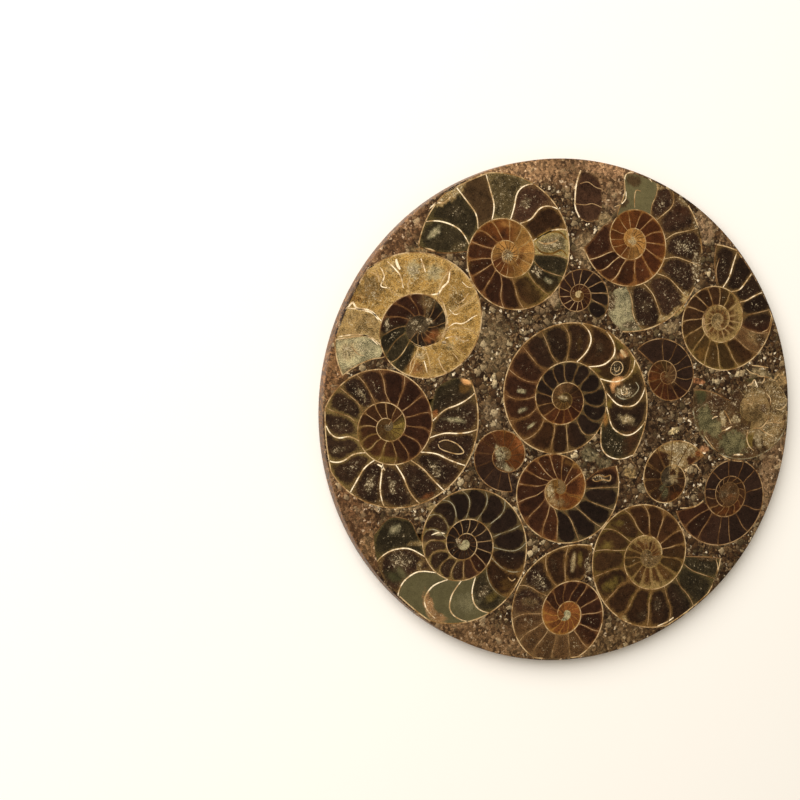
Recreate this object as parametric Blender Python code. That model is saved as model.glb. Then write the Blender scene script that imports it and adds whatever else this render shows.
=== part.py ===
"""Round polished plate of crushed stone with sliced ammonites set flush in its upper face.

The plate lies flat: its underside is on z = 0, +Z comes out of the polished face and the
origin is at the middle of the underside. Every ammonite is one slice of a coiled shell and
sits in a blind pocket of its own shape. Its whorl walls and septa are stone like the rest
of the slice; polishing has left the softer filling of each chamber a hair lower.
"""
import bpy
import bmesh
from math import cos, sin, radians, hypot, pi
from typing import NamedTuple

MM = 0.001

# --- driving dimensions, in millimetres ---------------------------------------------------
DISC_RADIUS = 75.0
DISC_THICKNESS = 5.0
RIM_EASE = 0.4            # eased edge of the plate, above and below
RIM_SIDES = 96

INLAY_THICKNESS = 3.3     # thickness of an ammonite slice
FIT_GAP = 0.3             # clear space between a slice and its pocket
WALL = 0.55               # shell wall between two whorls or two chambers
DISH = 0.28               # how far the middle of a chamber is polished down
RIM_LAND = 0.75           # stone left between the plate's rim and a slice cut short by it
OUTLINE_STEP = 10.0       # degrees between the points of a large outline
SMALL_RADIUS = 14.0       # slices with a mouth radius below this take the coarser step
SMALL_STEP = 14.0

# --- colours ------------------------------------------------------------------------------
GRIT = (0.22, 0.155, 0.105)
DARK_CALCITE = (0.055, 0.028, 0.016)
BROWN_CALCITE = (0.13, 0.055, 0.022)
AMBER_CALCITE = (0.30, 0.125, 0.035)
GOLD_CALCITE = (0.36, 0.23, 0.08)
OLIVE_CALCITE = (0.12, 0.085, 0.035)
PALE_CALCITE = (0.27, 0.23, 0.13)
GREEN_MUD = (0.10, 0.095, 0.06)


class Ammonite(NamedTuple):
    """One coiled slice. The shell wall is a spiral that starts at the mouth and runs inwards:
    t turns in, its radius is mouth_radius * growth ** -(t * (1 + tighten * t))."""

    name: str
    centre: tuple           # middle of the coil on the plate
    mouth_radius: float     # from the centre to the outer lip of the mouth
    mouth_angle: float      # direction of the lip from the centre, degrees from +X
    winding: int            # +1: inwards is clockwise, -1: inwards is counterclockwise
    growth: float           # how many times wider the coil gets with each turn
    tighten: float
    oval: float             # stretch along oval_angle, as a fraction
    oval_angle: float
    colour: tuple
    first_septum: float     # degrees inwards from the mouth
    septum_step: float      # degrees between septa
    chambers: int           # dished chambers, counted from the first septum
    lip: tuple = ()         # points of the mouth's edge, from its inner to its outer end
    whole: tuple = ((0.0, 360.0),)   # stretches of the last turn that are there, in degrees
    broken: tuple = ()      # points of the broken edge between the two stretches


AMMONITES = (
    Ammonite("ammonite_west", (-55.5, -3.7), 29.5, 33, 1, 1.81, 0.17, 0.016, 148,
             DARK_CALCITE, 17, 24, 27, lip=((-37.0, 10.3), (-33.5, 11.9))),
    Ammonite("ammonite_north_west", (-45.2, 25.3), 27.0, -149, 1, 1.77, 0.25, 0.024, 23,
             GOLD_CALCITE, 24, 24, 27, lip=((-61.0, 16.0), (-66.0, 13.6))),
    Ammonite("ammonite_north", (-17.9, 46.4), 28.2, 175, 1, 2.08, 0.08, 0.020, 124,
             OLIVE_CALCITE, 20, 25, 27, lip=((-35.0, 46.2), (-41.0, 47.2))),
    Ammonite("ammonite_north_east", (22.0, 50.9), 27.4, -97, -1, 1.83, 0.14, 0.028, 122,
             BROWN_CALCITE, 6, 25, 6, lip=((16.6, 36.6), (15.0, 32.0), (15.6, 27.0)),
             whole=((0.0, 178.0), (268.0, 360.0)),
             broken=((19.0, 66.0), (18.6, 60.6), (16.4, 58.8), (14.2, 56.2), (11.2, 55.4))),
    Ammonite("ammonite_east_high", (50.9, 26.8), 22.6, 91, 1, 2.25, 0.0, 0.012, 92,
             BROWN_CALCITE, 18, 24, 27, lip=((49.6, 41.0), (49.8, 45.0))),
    Ammonite("ammonite_east_pale", (62.8, -0.4), 21.0, 164, -1, 3.03, -0.15, 0.031, 37,
             PALE_CALCITE, 22, 27, 10, lip=((51.0, 4.0), (46.0, 6.6))),
    Ammonite("ammonite_east_low", (54.7, -26.4), 18.0, -158, -1, 2.60, -0.13, 0.045, 64,
             DARK_CALCITE, 22, 24, 14, lip=((43.5, -30.2), (39.5, -31.4))),
    Ammonite("ammonite_south_east", (27.8, -44.6), 24.6, -5, 1, 1.68, 0.32, 0.010, 90,
             OLIVE_CALCITE, 20, 25, 27, lip=((44.5, -45.4), (48.5, -46.2))),
    Ammonite("ammonite_south", (1.0, -61.1), 21.4, 67, -1, 1.87, 0.18, 0.038, 44,
             BROWN_CALCITE, 30, 26, 24, lip=((7.6, -49.0), (9.0, -45.0))),
    Ammonite("ammonite_south_west", (-31.4, -38.8), 28.9, 164, -1, 2.04, 0.05, 0.007, 42,
             GREEN_MUD, 18, 24, 27, lip=((-46.6, -33.0), (-50.5, -30.6), (-55.0, -29.6))),
    Ammonite("ammonite_centre", (0.2, 3.4), 28.9, -45, -1, 1.85, 0.09, 0.010, 30,
             DARK_CALCITE, 15, 23.5, 28, lip=((11.7, -9.0), (13.4, -13.2), (16.2, -15.4))),
    Ammonite("ammonite_centre_south", (-1.4, -23.6), 19.6, 18, 1, 1.73, 0.48, 0.029, 151,
             AMBER_CALCITE, 22, 25, 14, lip=((11.5, -18.0), (15.0, -17.2))),
    Ammonite("ammonite_small_west", (-18.9, -13.1), 11.1, -79, 1, 1.73, 0.43, 0.032, 160,
             AMBER_CALCITE, 24, 28, 12),
    Ammonite("ammonite_small_north", (4.6, 34.5), 10.7, -47, -1, 2.42, 0.0, 0.013, 174,
             BROWN_CALCITE, 26, 26, 12, lip=((7.2, 29.2), (8.8, 27.0))),
    Ammonite("ammonite_small_east", (33.4, 10.0), 12.1, 140, 1, 1.89, 0.32, 0.033, 130,
             BROWN_CALCITE, 34, 27, 11),
    Ammonite("ammonite_small_broken", (34.9, -21.4), 12.9, 28, -1, 2.30, 0.17, 0.045, 60,
             DARK_CALCITE, 60, 30, 9),
)

# broken piece of one more shell, near the upper edge
FRAGMENT = ((5.4, 71.2), (3.8, 66.5), (3.2, 61.5), (4.6, 57.4), (7.4, 56.2), (10.8, 57.0),
            (12.2, 60.0), (12.0, 66.0), (10.8, 69.4), (8.0, 70.9))
FRAGMENT_DISHES = (((5.0, 68.2), (10.4, 68.4), (7.9, 70.2), (5.7, 70.4)),
                   ((4.0, 62.6), (11.5, 62.6), (11.3, 66.6), (7.5, 67.4), (4.5, 66.6)),
                   ((4.2, 59.8), (7.5, 57.0), (10.6, 58.0), (11.4, 60.8), (7.5, 61.8)))


# --- plane geometry of a coil ---------------------------------------------------------------
def coil_radius(shell, turns):
    """Distance of the shell wall from the centre, before the oval stretch, in mm."""
    return shell.mouth_radius * shell.growth ** -(turns * (1.0 + shell.tighten * turns))


def coil_point(shell, degrees, across=1.0):
    """Point of a whorl `degrees` inwards from the mouth. across is 0 on its inner wall and
    1 on its outer wall."""
    turns = degrees / 360.0
    outer, inner = coil_radius(shell, turns), coil_radius(shell, turns + 1.0)
    radius = inner + across * (outer - inner)
    angle = radians(shell.mouth_angle - shell.winding * degrees)
    axis = radians(shell.oval_angle)
    along = radius * cos(angle - axis) * (1.0 + shell.oval)
    aside = radius * sin(angle - axis) * (1.0 - shell.oval)
    return (shell.centre[0] + along * cos(axis) - aside * sin(axis),
            shell.centre[1] + along * sin(axis) + aside * cos(axis))


def keep_on_plate(point, land):
    """Pull a point back so that `land` mm of stone stay between it and the rim."""
    limit = DISC_RADIUS - land
    reach = hypot(*point)
    return point if reach <= limit else (point[0] * limit / reach, point[1] * limit / reach)


def signed_area(points):
    """Area inside a closed outline, positive where it runs counterclockwise."""
    turns = zip(points, points[1:] + points[:1])
    return 0.5 * sum(a[0] * b[1] - b[0] * a[1] for a, b in turns)


def counterclockwise(points):
    """The same closed outline, running counterclockwise."""
    points = list(points)
    return points if signed_area(points) > 0 else points[::-1]


def inset(points, distance):
    """Move a counterclockwise outline inwards by `distance`, outwards where it is negative."""
    moved = []
    count = len(points)
    for i, (x, y) in enumerate(points):
        (ax, ay), (bx, by) = points[i - 1], points[(i + 1) % count]
        first, second = (x - ax, y - ay), (bx - x, by - y)
        n1 = hypot(*first)
        n2 = hypot(*second)
        normal = (-(first[1] / n1 + second[1] / n2), first[0] / n1 + second[0] / n2)
        length = hypot(*normal)
        turn = max(length / 2.0, 0.6)
        moved.append((x + normal[0] / length * distance / turn,
                      y + normal[1] / length * distance / turn))
    return moved


def shell_outline(shell):
    """Outside edge of a slice: its last turn, a broken edge if it has one, and its mouth."""
    step = OUTLINE_STEP if shell.mouth_radius > SMALL_RADIUS else SMALL_STEP
    points = []
    for start, end in shell.whole:
        if points:
            points += shell.broken
        count = round((end - start) / step)
        points += [coil_point(shell, start + (end - start) * i / count)
                   for i in range(count + 1)]
    points += shell.lip
    points = [keep_on_plate(p, RIM_LAND) for p in points]
    return inset(counterclockwise(points), FIT_GAP / 2.0)


def chamber_outline(shell, index):
    """Edge of one dished chamber, between two septa and two whorl walls."""
    near = shell.first_septum + index * shell.septum_step
    far = near + shell.septum_step
    middle = 0.5 * (near + far)
    width = hypot(*(a - b for a, b in zip(coil_point(shell, middle, 1.0),
                                          coil_point(shell, middle, 0.0))))
    side = 0.5 * WALL / width
    trim = degrees_along(shell, middle, 0.5 * WALL)
    bulge = 0.16 * shell.septum_step
    corners = [(near + trim + bulge, side), (near + trim + bulge, 1 - side),
               (middle + bulge, 1 - side),
               (far - trim + bulge, 1 - side), (far - trim + bulge, side)]
    if far < 360.0:
        corners.insert(4, (far - trim, 0.5))
        corners.insert(1, (near + trim, 0.5))
    points = [keep_on_plate(coil_point(shell, d, v), RIM_LAND + 2.0 * WALL) for d, v in corners]
    return counterclockwise(points)


def degrees_along(shell, degrees, length):
    """Angle on the coil that spans `length` mm halfway across the whorl."""
    x, y = coil_point(shell, degrees, 0.5)
    return length / hypot(x - shell.centre[0], y - shell.centre[1]) * 180.0 / pi


# --- solids ---------------------------------------------------------------------------------
def clear_scene():
    """Start from an empty scene."""
    for thing in list(bpy.data.objects):
        bpy.data.objects.remove(thing, do_unlink=True)


def stone(name, colour, roughness):
    """Plain stone material."""
    material = bpy.data.materials.new(name)
    material.use_nodes = True
    shader = material.node_tree.nodes["Principled BSDF"]
    shader.inputs["Base Color"].default_value = (*colour, 1.0)
    shader.inputs["Roughness"].default_value = roughness
    shader.inputs["Metallic"].default_value = 0.0
    material.diffuse_color = (*colour, 1.0)
    return material


def add_object(name, bm, material):
    """Turn a bmesh into a named object."""
    bmesh.ops.recalc_face_normals(bm, faces=bm.faces)
    mesh = bpy.data.meshes.new(name)
    bm.to_mesh(mesh)
    bm.free()
    mesh.materials.append(material)
    thing = bpy.data.objects.new(name, mesh)
    bpy.context.collection.objects.link(thing)
    return thing


def loop_edges(bm, points, z):
    """Add a closed loop of edges at height z, in mm."""
    verts = [bm.verts.new((x * MM, y * MM, z * MM)) for x, y in points]
    return verts, [bm.edges.new((a, b)) for a, b in zip(verts, verts[1:] + verts[:1])]


def slice_mesh(outline, dishes):
    """Closed slice: flat below, its upper face flush with the plate, a shallow dish in each
    chamber."""
    top, bottom = DISC_THICKNESS, DISC_THICKNESS - INLAY_THICKNESS
    bm = bmesh.new()
    rim, edges = loop_edges(bm, outline, top)
    bowls = []
    for dish in dishes:
        verts, ring = loop_edges(bm, dish, top)
        edges += ring
        bowls.append(verts)
    bmesh.ops.triangle_fill(bm, use_beauty=True, edges=edges, normal=(0.0, 0.0, 1.0))
    for verts in bowls:
        x = sum(v.co.x for v in verts) / len(verts)
        y = sum(v.co.y for v in verts) / len(verts)
        low = bm.verts.new((x, y, (top - DISH) * MM))
        for a, b in zip(verts, verts[1:] + verts[:1]):
            bm.faces.new((a, b, low))
    foot = [bm.verts.new((x * MM, y * MM, bottom * MM)) for x, y in outline]
    for i in range(len(rim)):
        bm.faces.new((rim[i - 1], rim[i], foot[i], foot[i - 1]))
    bm.faces.new(foot[::-1])
    return bm


def pocket_cutter(name, outline):
    """Prism that cuts a slice's blind pocket. It is a guide and isn't part of the plate."""
    bm = bmesh.new()
    floor = (DISC_THICKNESS - INLAY_THICKNESS - FIT_GAP) * MM
    verts = [bm.verts.new((x * MM, y * MM, floor)) for x, y in inset(outline, -FIT_GAP)]
    face = bm.faces.new(verts)
    grown = bmesh.ops.extrude_face_region(bm, geom=[face])
    lift = (INLAY_THICKNESS + FIT_GAP + 1.0) * MM
    bmesh.ops.translate(bm, vec=(0.0, 0.0, lift),
                        verts=[v for v in grown["geom"] if isinstance(v, bmesh.types.BMVert)])
    cutter = add_object(name, bm, bpy.data.materials["cutter"])
    cutter.hide_render = True
    cutter.display_type = "WIRE"
    return cutter


def plate(material):
    """The round plate with eased edges, still without its pockets."""
    bm = bmesh.new()
    bmesh.ops.create_circle(bm, cap_ends=True, radius=DISC_RADIUS * MM, segments=RIM_SIDES)
    grown = bmesh.ops.extrude_face_region(bm, geom=bm.faces[:])
    bmesh.ops.translate(bm, vec=(0.0, 0.0, DISC_THICKNESS * MM),
                        verts=[v for v in grown["geom"] if isinstance(v, bmesh.types.BMVert)])
    rims = [e for e in bm.edges
            if abs(e.verts[0].co.z - e.verts[1].co.z) < 1e-6 and len(e.link_faces) == 2]
    bmesh.ops.bevel(bm, geom=rims, offset=RIM_EASE * MM, segments=1, profile=0.5,
                    affect="EDGES", material=-1)
    return add_object("grit_plate", bm, material)


def main():
    """Build the plate, cut one pocket for each slice, and set the slices in it."""
    clear_scene()
    bpy.data.materials.new("cutter")
    ground = plate(stone("crushed_stone", GRIT, 0.35))
    pieces = [(shell.name, shell.colour, shell_outline(shell),
               [chamber_outline(shell, i) for i in range(shell.chambers)])
              for shell in AMMONITES]
    pieces.append(("ammonite_fragment", DARK_CALCITE,
                   inset(counterclockwise(FRAGMENT), FIT_GAP / 2.0),
                   [counterclockwise(dish) for dish in FRAGMENT_DISHES]))
    for name, colour, outline, dishes in pieces:
        add_object(name, slice_mesh(outline, dishes), stone(name + "_calcite", colour, 0.2))
        pocket = ground.modifiers.new("pocket_" + name, "BOOLEAN")
        pocket.operation = "DIFFERENCE"
        pocket.solver = "EXACT"
        pocket.object = pocket_cutter("cut_" + name, outline)


main()
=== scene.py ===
"""Polished round plate of crushed stone with sliced ammonites set flush in its face.

Lengths are in millimetres until a mesh is written. Every slice is drawn in the coordinates
of its own coil: degrees inwards from the mouth, and the share of the way across the whorl.
"""
import logging
import random
from dataclasses import dataclass, field, fields
from enum import Enum
from math import ceil, cos, hypot, pi, radians, sin
from typing import ClassVar, Iterable, Optional, Sequence, Union

import bmesh
import bpy
from mathutils import Matrix, Vector, noise


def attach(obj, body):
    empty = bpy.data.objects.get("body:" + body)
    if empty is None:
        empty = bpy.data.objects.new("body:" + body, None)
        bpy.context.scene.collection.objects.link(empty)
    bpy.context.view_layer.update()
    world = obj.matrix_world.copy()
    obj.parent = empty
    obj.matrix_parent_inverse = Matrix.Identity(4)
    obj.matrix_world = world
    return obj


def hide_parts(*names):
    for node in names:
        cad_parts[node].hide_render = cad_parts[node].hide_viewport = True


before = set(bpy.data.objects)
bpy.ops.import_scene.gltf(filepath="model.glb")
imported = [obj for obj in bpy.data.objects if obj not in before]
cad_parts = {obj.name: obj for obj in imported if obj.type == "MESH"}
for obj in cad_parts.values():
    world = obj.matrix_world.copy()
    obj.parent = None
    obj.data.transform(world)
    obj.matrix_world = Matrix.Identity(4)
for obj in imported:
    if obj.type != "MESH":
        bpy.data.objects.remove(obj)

LOG = logging.getLogger("ammonite_plate")
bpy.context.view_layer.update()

Point = tuple[float, float]
Colour = tuple[float, float, float]
Bend = tuple[float, float, float]
Socket = bpy.types.NodeSocket

MM = 0.001
ROOT = "root"
FULL_TURN = 360.0
TINY = 1e-6               # keeps a length of 0 from dividing

# --- the plate, as in the solid model --------------------------------------------------------------
DISC_RADIUS = 75.0
DISC_THICKNESS = 5.0
RIM_EASE = 0.4
RIM_SIDES = 288
RIM_STEPS = 4             # facets across the eased edge
POCKET_DEPTH = 3.6
POCKET_INSET = 0.05       # the pocket's edge hides under the shell wall
CUT_RADIUS = 74.4         # where a slice that reaches the rim is cut off
WALL_KEPT = 0.9           # a whorl cut off further than this has lost its outer wall

# --- heights above the underside -------------------------------------------------------------------
GRIT_TOP = 4.985
FILL_TOP = 4.975
SHELL_TOP = 5.0
SHELL_DEPTH = 0.35        # how far the lines of shell reach down
FILL_BOTTOM = 1.7

# --- mesh density ----------------------------------------------------------------------------------
CELL = 0.45               # side of a filling's mesh cell
NARROW_WHORL = 4.0        # a whorl narrower than this has cells of half the side
FEWEST_CELLS = 6          # along and across one chamber
RIBBON_STEP = 0.5         # longest step along a line of shell
OUTLINE_STEP = 3.0        # degrees between the points of a slice's outline
GAP_SIDES = 12            # pieces of that outline along a broken stretch
MOUTH_SHARES = (0.12, 0.25, 0.4, 0.55, 0.7, 0.85)     # its points across the mouth
GAP_SHARES = ((0.8, 0.6, 0.4, 0.2), (0.25, 0.5, 0.75))    # across a broken stretch's two ends
CORE_SIDES = 37           # points around a core
CORE_STEP = 10.0          # degrees of coil from one to the next
SMOOTH_BELOW = 35.0       # degrees between two faces that are shaded as one
MITRE_LIMIT = 0.6         # a corner is moved no further than the distance over this

# --- lines of shell --------------------------------------------------------------------------------
BEND_AT = 0.43            # share of a whorl's width where a septum's two bends begin
BEND_POWER = 1.6          # how late a slight bend turns away from the middle
BEND_POWER_GAIN = 0.06    # how much later for each degree of bend
KEPT_HALVINGS = 12        # steps of the search for the plate's rim across a whorl
BRIGHT_SEPTUM = 0.34      # widths of the septa
PLAIN_SEPTUM = 0.22
INNER_SEPTUM = 0.16
WALL_WIDTH = 0.14         # width of a whorl wall at the core, and what it gains outwards
WALL_GAIN = 0.22
WALL_REACH = 28.0         # distance from the core where it has gained all of it
DARK_FROM = 690.0         # septa set by the rule further in than this are dark
BEND_LEAST = 0.7          # least share of their bend that they have, and what chance adds
BEND_SWING = 0.6
JITTER = 3.0              # degrees by which they miss their even places
SEPTUM_ENDS = 0.75        # share of its width at a septum's ends, and what its middle gains
SEPTUM_BELLY = 0.4
STROKE_ENDS = 0.55        # the same for the other lines
STROKE_BELLY = 0.45
FEWEST_STEPS = 5          # along one septum

# --- fillings --------------------------------------------------------------------------------------
PUNCH = 1.15              # contrast of the polished stone's colours
FULL_SIZE = 7.0           # a chamber smaller than this has a narrower lining
REACH_POWER = 1.3         # how fast the lining narrows with the chamber
DRUSY_RADII = (0.36, 0.4)     # half axes of the crystals' place, as shares of the chamber
DRUSY_LIGHT = (0.1, 0.9, 1.5)     # least share of crystals, what is added by chance, its power
CLOUDY_DRUSY = 0.3        # share of crystals that a cloudy filling has everywhere
SHADE_SWING = 0.45        # how far the chambers differ in brightness
DRUSY_LOOK = 0.5          # patches with more crystals than this keep their own crystals
CORE_RINGS = (1.0, 0.66, 0.33)    # radii of a core's rings, as shares of its own
CORE_SIZE = 2.0           # a core is lined like a chamber of this size
CORE_DRUSY = 0.2          # share of crystals that each of its rings gains inwards
ZONE_DEPTH = 8.0          # how far the grit's zones reach down


def linear(value: float) -> float:
    """Linear level of a display value from 0 to 255."""
    value /= 255.0
    return value / 12.92 if value <= 0.04045 else ((value + 0.055) / 1.055) ** 2.4


def srgb(red: float, green: float, blue: float) -> Colour:
    """Linear colour of display values.

    Args:
        red, green, blue: display values from 0 to 255.

    Returns:
        The same colour as linear values from 0 to 1.
    """
    return linear(red), linear(green), linear(blue)


def between(a: Union[float, Colour], b: Union[float, Colour],
            share: float) -> Union[float, Colour]:
    """Mix of two numbers or two colours.

    Args:
        a: value at a share of 0.
        b: value at a share of 1.
        share: share of b.

    Returns:
        The mix, of the same kind.
    """
    if isinstance(a, tuple):
        return tuple(x + (y - x) * share for x, y in zip(a, b))
    return a + (b - a) * share


# --- colours ---------------------------------------------------------------------------------------
class Tint(Enum):
    """Named colours of the lines of shell."""

    CREAM = srgb(236, 218, 186)
    SHELL = srgb(188, 162, 122)
    TAN = srgb(158, 130, 94)
    DIM = srgb(130, 100, 66)
    FAINT = srgb(118, 92, 60)
    OLIVE = srgb(140, 114, 60)
    WHITE = srgb(222, 214, 200)
    GREY = srgb(150, 142, 118)
    BROWN = srgb(84, 58, 34)


@dataclass(frozen=True)
class Filling:
    """Look of the mineral in a chamber.

    Attributes:
        tone: colour of its body.
        lining: colour along the walls and septa.
        reach: how far the lining comes in from the wall, in mm.
        bay: how round the body's corners are, 0 to 1.
        lean: more lining on the outer side above 0, on the inner side below.
        crystal: share of bright crystals in the middle, 0 to 1.
        vein: strength of pale veins, 0 to 1.
        cloud: strength of its mottling, 0 to 1.
    """

    tone: Colour
    lining: Colour
    reach: float = 0.6
    bay: float = 0.5
    lean: float = 0.0
    crystal: float = 0.0
    vein: float = 0.0
    cloud: float = 0.5

    def blend(self, other: "Filling", share: float) -> "Filling":
        """Mix of this filling with another.

        Args:
            other: the other filling.
            share: share of the other filling.

        Returns:
            The mixed filling.
        """
        return Filling(*(between(getattr(self, f.name), getattr(other, f.name), share)
                         for f in fields(self)))


class Look(Enum):
    """Named chamber fillings."""

    BLACK = Filling(srgb(44, 30, 19), srgb(98, 77, 46), 0.9, 0.9, -0.1, 0.5, 0.0, 0.7)
    RAVEN = Filling(srgb(38, 26, 18), srgb(92, 76, 48), 0.8, 1.0, 0.0, 0.2, 0.0, 0.6)
    DRUSY = Filling(srgb(54, 37, 25), srgb(98, 76, 46), 0.9, 0.9, -0.2, 0.9, 0.0, 0.8)
    WEB = Filling(srgb(54, 38, 25), srgb(118, 98, 58), 1.1, 1.0, -0.1, 0.5, 0.0, 0.7)
    GILT = Filling(srgb(66, 45, 25), srgb(96, 76, 38), 0.9, 0.9, 0.0, 0.3, 0.0, 0.6)
    PURPLE = Filling(srgb(66, 45, 31), srgb(98, 74, 48), 0.9, 0.9, 0.0, 0.8, 0.0, 0.8)
    BROWN = Filling(srgb(57, 37, 20), srgb(112, 85, 48), 0.9, 0.7, 0.1, 0.3, 0.0, 0.7)
    GARNET = Filling(srgb(64, 38, 20), srgb(120, 82, 45), 0.9, 0.7, 0.2, 0.4, 0.0, 0.7)
    UMBER = Filling(srgb(74, 42, 21), srgb(132, 90, 46), 0.9, 0.5, 0.4, 0.1, 0.0, 0.6)
    SEPIA = Filling(srgb(60, 38, 20), srgb(112, 84, 48), 0.9, 0.7, 0.2, 0.2, 0.0, 0.7)
    NIGHT = Filling(srgb(50, 34, 24), srgb(66, 48, 32), 0.6, 0.4, 0.0, 0.15, 0.0, 0.6)
    RIB = Filling(srgb(84, 56, 29), srgb(150, 126, 80), 2.4, 0.5, 0.8, 0.2, 0.0, 0.7)
    HALO = Filling(srgb(144, 106, 58), srgb(176, 140, 86), 0.9, 0.5, 0.3, 0.3, 0.0, 0.7)
    OXBLOOD = Filling(srgb(53, 31, 18), srgb(102, 70, 42), 0.9, 0.7, 0.1, 0.3, 0.0, 0.6)
    UMBRA = Filling(srgb(66, 49, 30), srgb(92, 72, 45), 0.9, 0.8, 0.0, 0.4, 0.0, 0.7)
    SAGE = Filling(srgb(74, 62, 39), srgb(108, 92, 60), 0.9, 0.8, 0.0, 0.8, 0.1, 1.0)
    LIME = Filling(srgb(110, 92, 46), srgb(118, 98, 48), 0.9, 0.8, 0.0, 0.2, 0.0, 0.6)
    EMBER = Filling(srgb(112, 70, 36), srgb(146, 106, 52), 1.1, 0.3, 0.7, 0.1, 0.0, 0.6)
    TOPAZ = Filling(srgb(118, 86, 44), srgb(152, 122, 68), 0.8, 0.5, 0.3, 0.1, 0.0, 0.6)
    TAWNY = Filling(srgb(70, 44, 24), srgb(112, 90, 48), 1.1, 0.5, 0.65, 0.2, 0.0, 0.6)
    AMBER = Filling(srgb(92, 55, 25), srgb(130, 92, 44), 0.7, 0.5, 0.4, 0.1, 0.0, 0.6)
    RUST = Filling(srgb(126, 80, 44), srgb(150, 108, 62), 0.6, 0.4, 0.3, 0.3, 0.0, 0.8)
    APRICOT = Filling(srgb(210, 158, 104), srgb(216, 170, 118), 0.5, 0.4, 0.0, 0.3, 0.2, 0.6)
    BLUSH = Filling(srgb(154, 118, 80), srgb(160, 128, 90), 0.4, 0.3, 0.0, 0.6, 0.0, 0.8)
    GOLD = Filling(srgb(146, 116, 65), srgb(172, 142, 90), 0.9, 0.4, 0.0, 0.6, 1.0, 1.0)
    SAND = Filling(srgb(136, 112, 72), srgb(160, 136, 90), 0.8, 0.3, 0.0, 0.7, 0.5, 1.0)
    HONEY = Filling(srgb(98, 72, 35), srgb(134, 110, 58), 0.8, 0.6, 0.4, 0.1, 0.0, 0.6)
    OLIVE = Filling(srgb(68, 50, 25), srgb(118, 96, 52), 0.9, 0.7, 0.2, 0.3, 0.0, 0.7)
    MOSS = Filling(srgb(48, 40, 25), srgb(84, 72, 43), 0.8, 0.8, 0.0, 0.5, 0.0, 0.8)
    LOAM = Filling(srgb(84, 61, 37), srgb(110, 86, 56), 0.9, 0.7, 0.0, 0.5, 0.0, 0.8)
    TAN = Filling(srgb(122, 100, 66), srgb(148, 126, 88), 0.8, 0.5, 0.0, 0.6, 0.8, 1.0)
    FERN = Filling(srgb(64, 60, 38), srgb(92, 84, 50), 0.9, 0.7, 0.0, 0.2, 0.0, 0.6)
    MUD = Filling(srgb(98, 90, 62), srgb(104, 96, 68), 0.5, 0.3, 0.0, 0.0, 0.0, 0.25)
    CELADON = Filling(srgb(100, 92, 64), srgb(80, 74, 50), 0.8, 0.6, 0.0, 0.25, 0.2, 1.0)
    CLAY = Filling(srgb(146, 136, 104), srgb(124, 112, 82), 0.7, 0.5, 0.0, 0.8, 0.2, 1.0)
    PALE = Filling(srgb(112, 98, 68), srgb(156, 136, 88), 1.4, 0.6, 0.0, 0.8, 0.5, 1.0)
    CHALK = Filling(srgb(160, 140, 102), srgb(130, 108, 72), 0.4, 0.4, 0.0, 0.9, 0.3, 1.0)
    SMEAR = Filling(srgb(84, 70, 50), srgb(84, 70, 50), 0.5, 0.4, 0.0, 1.0, 0.0, 1.0)
    SPECK = Filling(srgb(66, 54, 38), srgb(84, 72, 50), 0.5, 0.4, 0.0, 0.6, 0.0, 1.0)
    DIRT = Filling(srgb(98, 78, 50), srgb(110, 90, 60), 0.5, 0.4, 0.0, 0.8, 0.2, 1.0)
    GRAVEL = Filling(srgb(80, 60, 38), srgb(92, 72, 46), 0.5, 0.4, 0.0, 0.9, 0.0, 1.0)


# --- the shells ------------------------------------------------------------------------------------
class Winding(Enum):
    """Way in which a coil turns from its mouth inwards, seen from above."""

    CLOCKWISE = 1
    COUNTER = -1


@dataclass(frozen=True)
class Coil:
    """The spiral of one shell wall, t turns in from the mouth:
    radius = mouth_radius * growth ** -(t * (1 + tighten * t)).

    Attributes:
        centre: its middle on the plate.
        mouth_radius: distance from there to the outer end of the mouth.
        mouth_angle: direction of that end, in degrees from +X.
        winding: way in which it turns inwards.
        growth: how many times wider it gets with each turn.
        tighten: how much faster it narrows with each turn inwards.
        oval: stretch along oval_angle, as a share.
        oval_angle: direction of the stretch, in degrees from +X.
    """

    centre: Point
    mouth_radius: float
    mouth_angle: float
    winding: Winding
    growth: float
    tighten: float
    oval: float
    oval_angle: float

    def radius(self, degrees: float) -> float:
        """Distance of the wall from the centre, before the oval stretch."""
        turns = degrees / FULL_TURN
        return self.mouth_radius * self.growth ** -(turns * (1.0 + self.tighten * turns))

    def width(self, degrees: float) -> float:
        """Width of the whorl."""
        return self.radius(degrees) - self.radius(degrees + FULL_TURN)

    def point(self, degrees: float, across: float) -> Point:
        """Place of a whorl point on the plate.

        Args:
            degrees: angle inwards from the mouth.
            across: 0 on the whorl's inner wall, 1 on its outer wall.

        Returns:
            x and y in mm.
        """
        inner, outer = self.radius(degrees + FULL_TURN), self.radius(degrees)
        return self.polar(inner + across * (outer - inner), degrees)

    def polar(self, radius: float, degrees: float) -> Point:
        """Point at a distance from the centre, with the oval stretch.

        Args:
            radius: the distance, before the stretch.
            degrees: angle inwards from the mouth.

        Returns:
            x and y in mm.
        """
        axis = radians(self.oval_angle)
        angle = radians(self.mouth_angle - self.winding.value * degrees) - axis
        along = radius * cos(angle) * (1.0 + self.oval)
        aside = radius * sin(angle) * (1.0 - self.oval)
        return (self.centre[0] + along * cos(axis) - aside * sin(axis),
                self.centre[1] + along * sin(axis) + aside * cos(axis))

    def kept(self, degrees: float) -> float:
        """Share of the whorl's width that the plate's rim leaves.

        Args:
            degrees: angle inwards from the mouth.

        Returns:
            The share from the inner wall outwards, 1 where the whorl is whole.
        """
        if hypot(*self.point(degrees, 1.0)) <= CUT_RADIUS:
            return 1.0
        low, high = 0.0, 1.0
        for _ in range(KEPT_HALVINGS):
            middle = 0.5 * (low + high)
            if hypot(*self.point(degrees, middle)) <= CUT_RADIUS:
                low = middle
            else:
                high = middle
        return low


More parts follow.
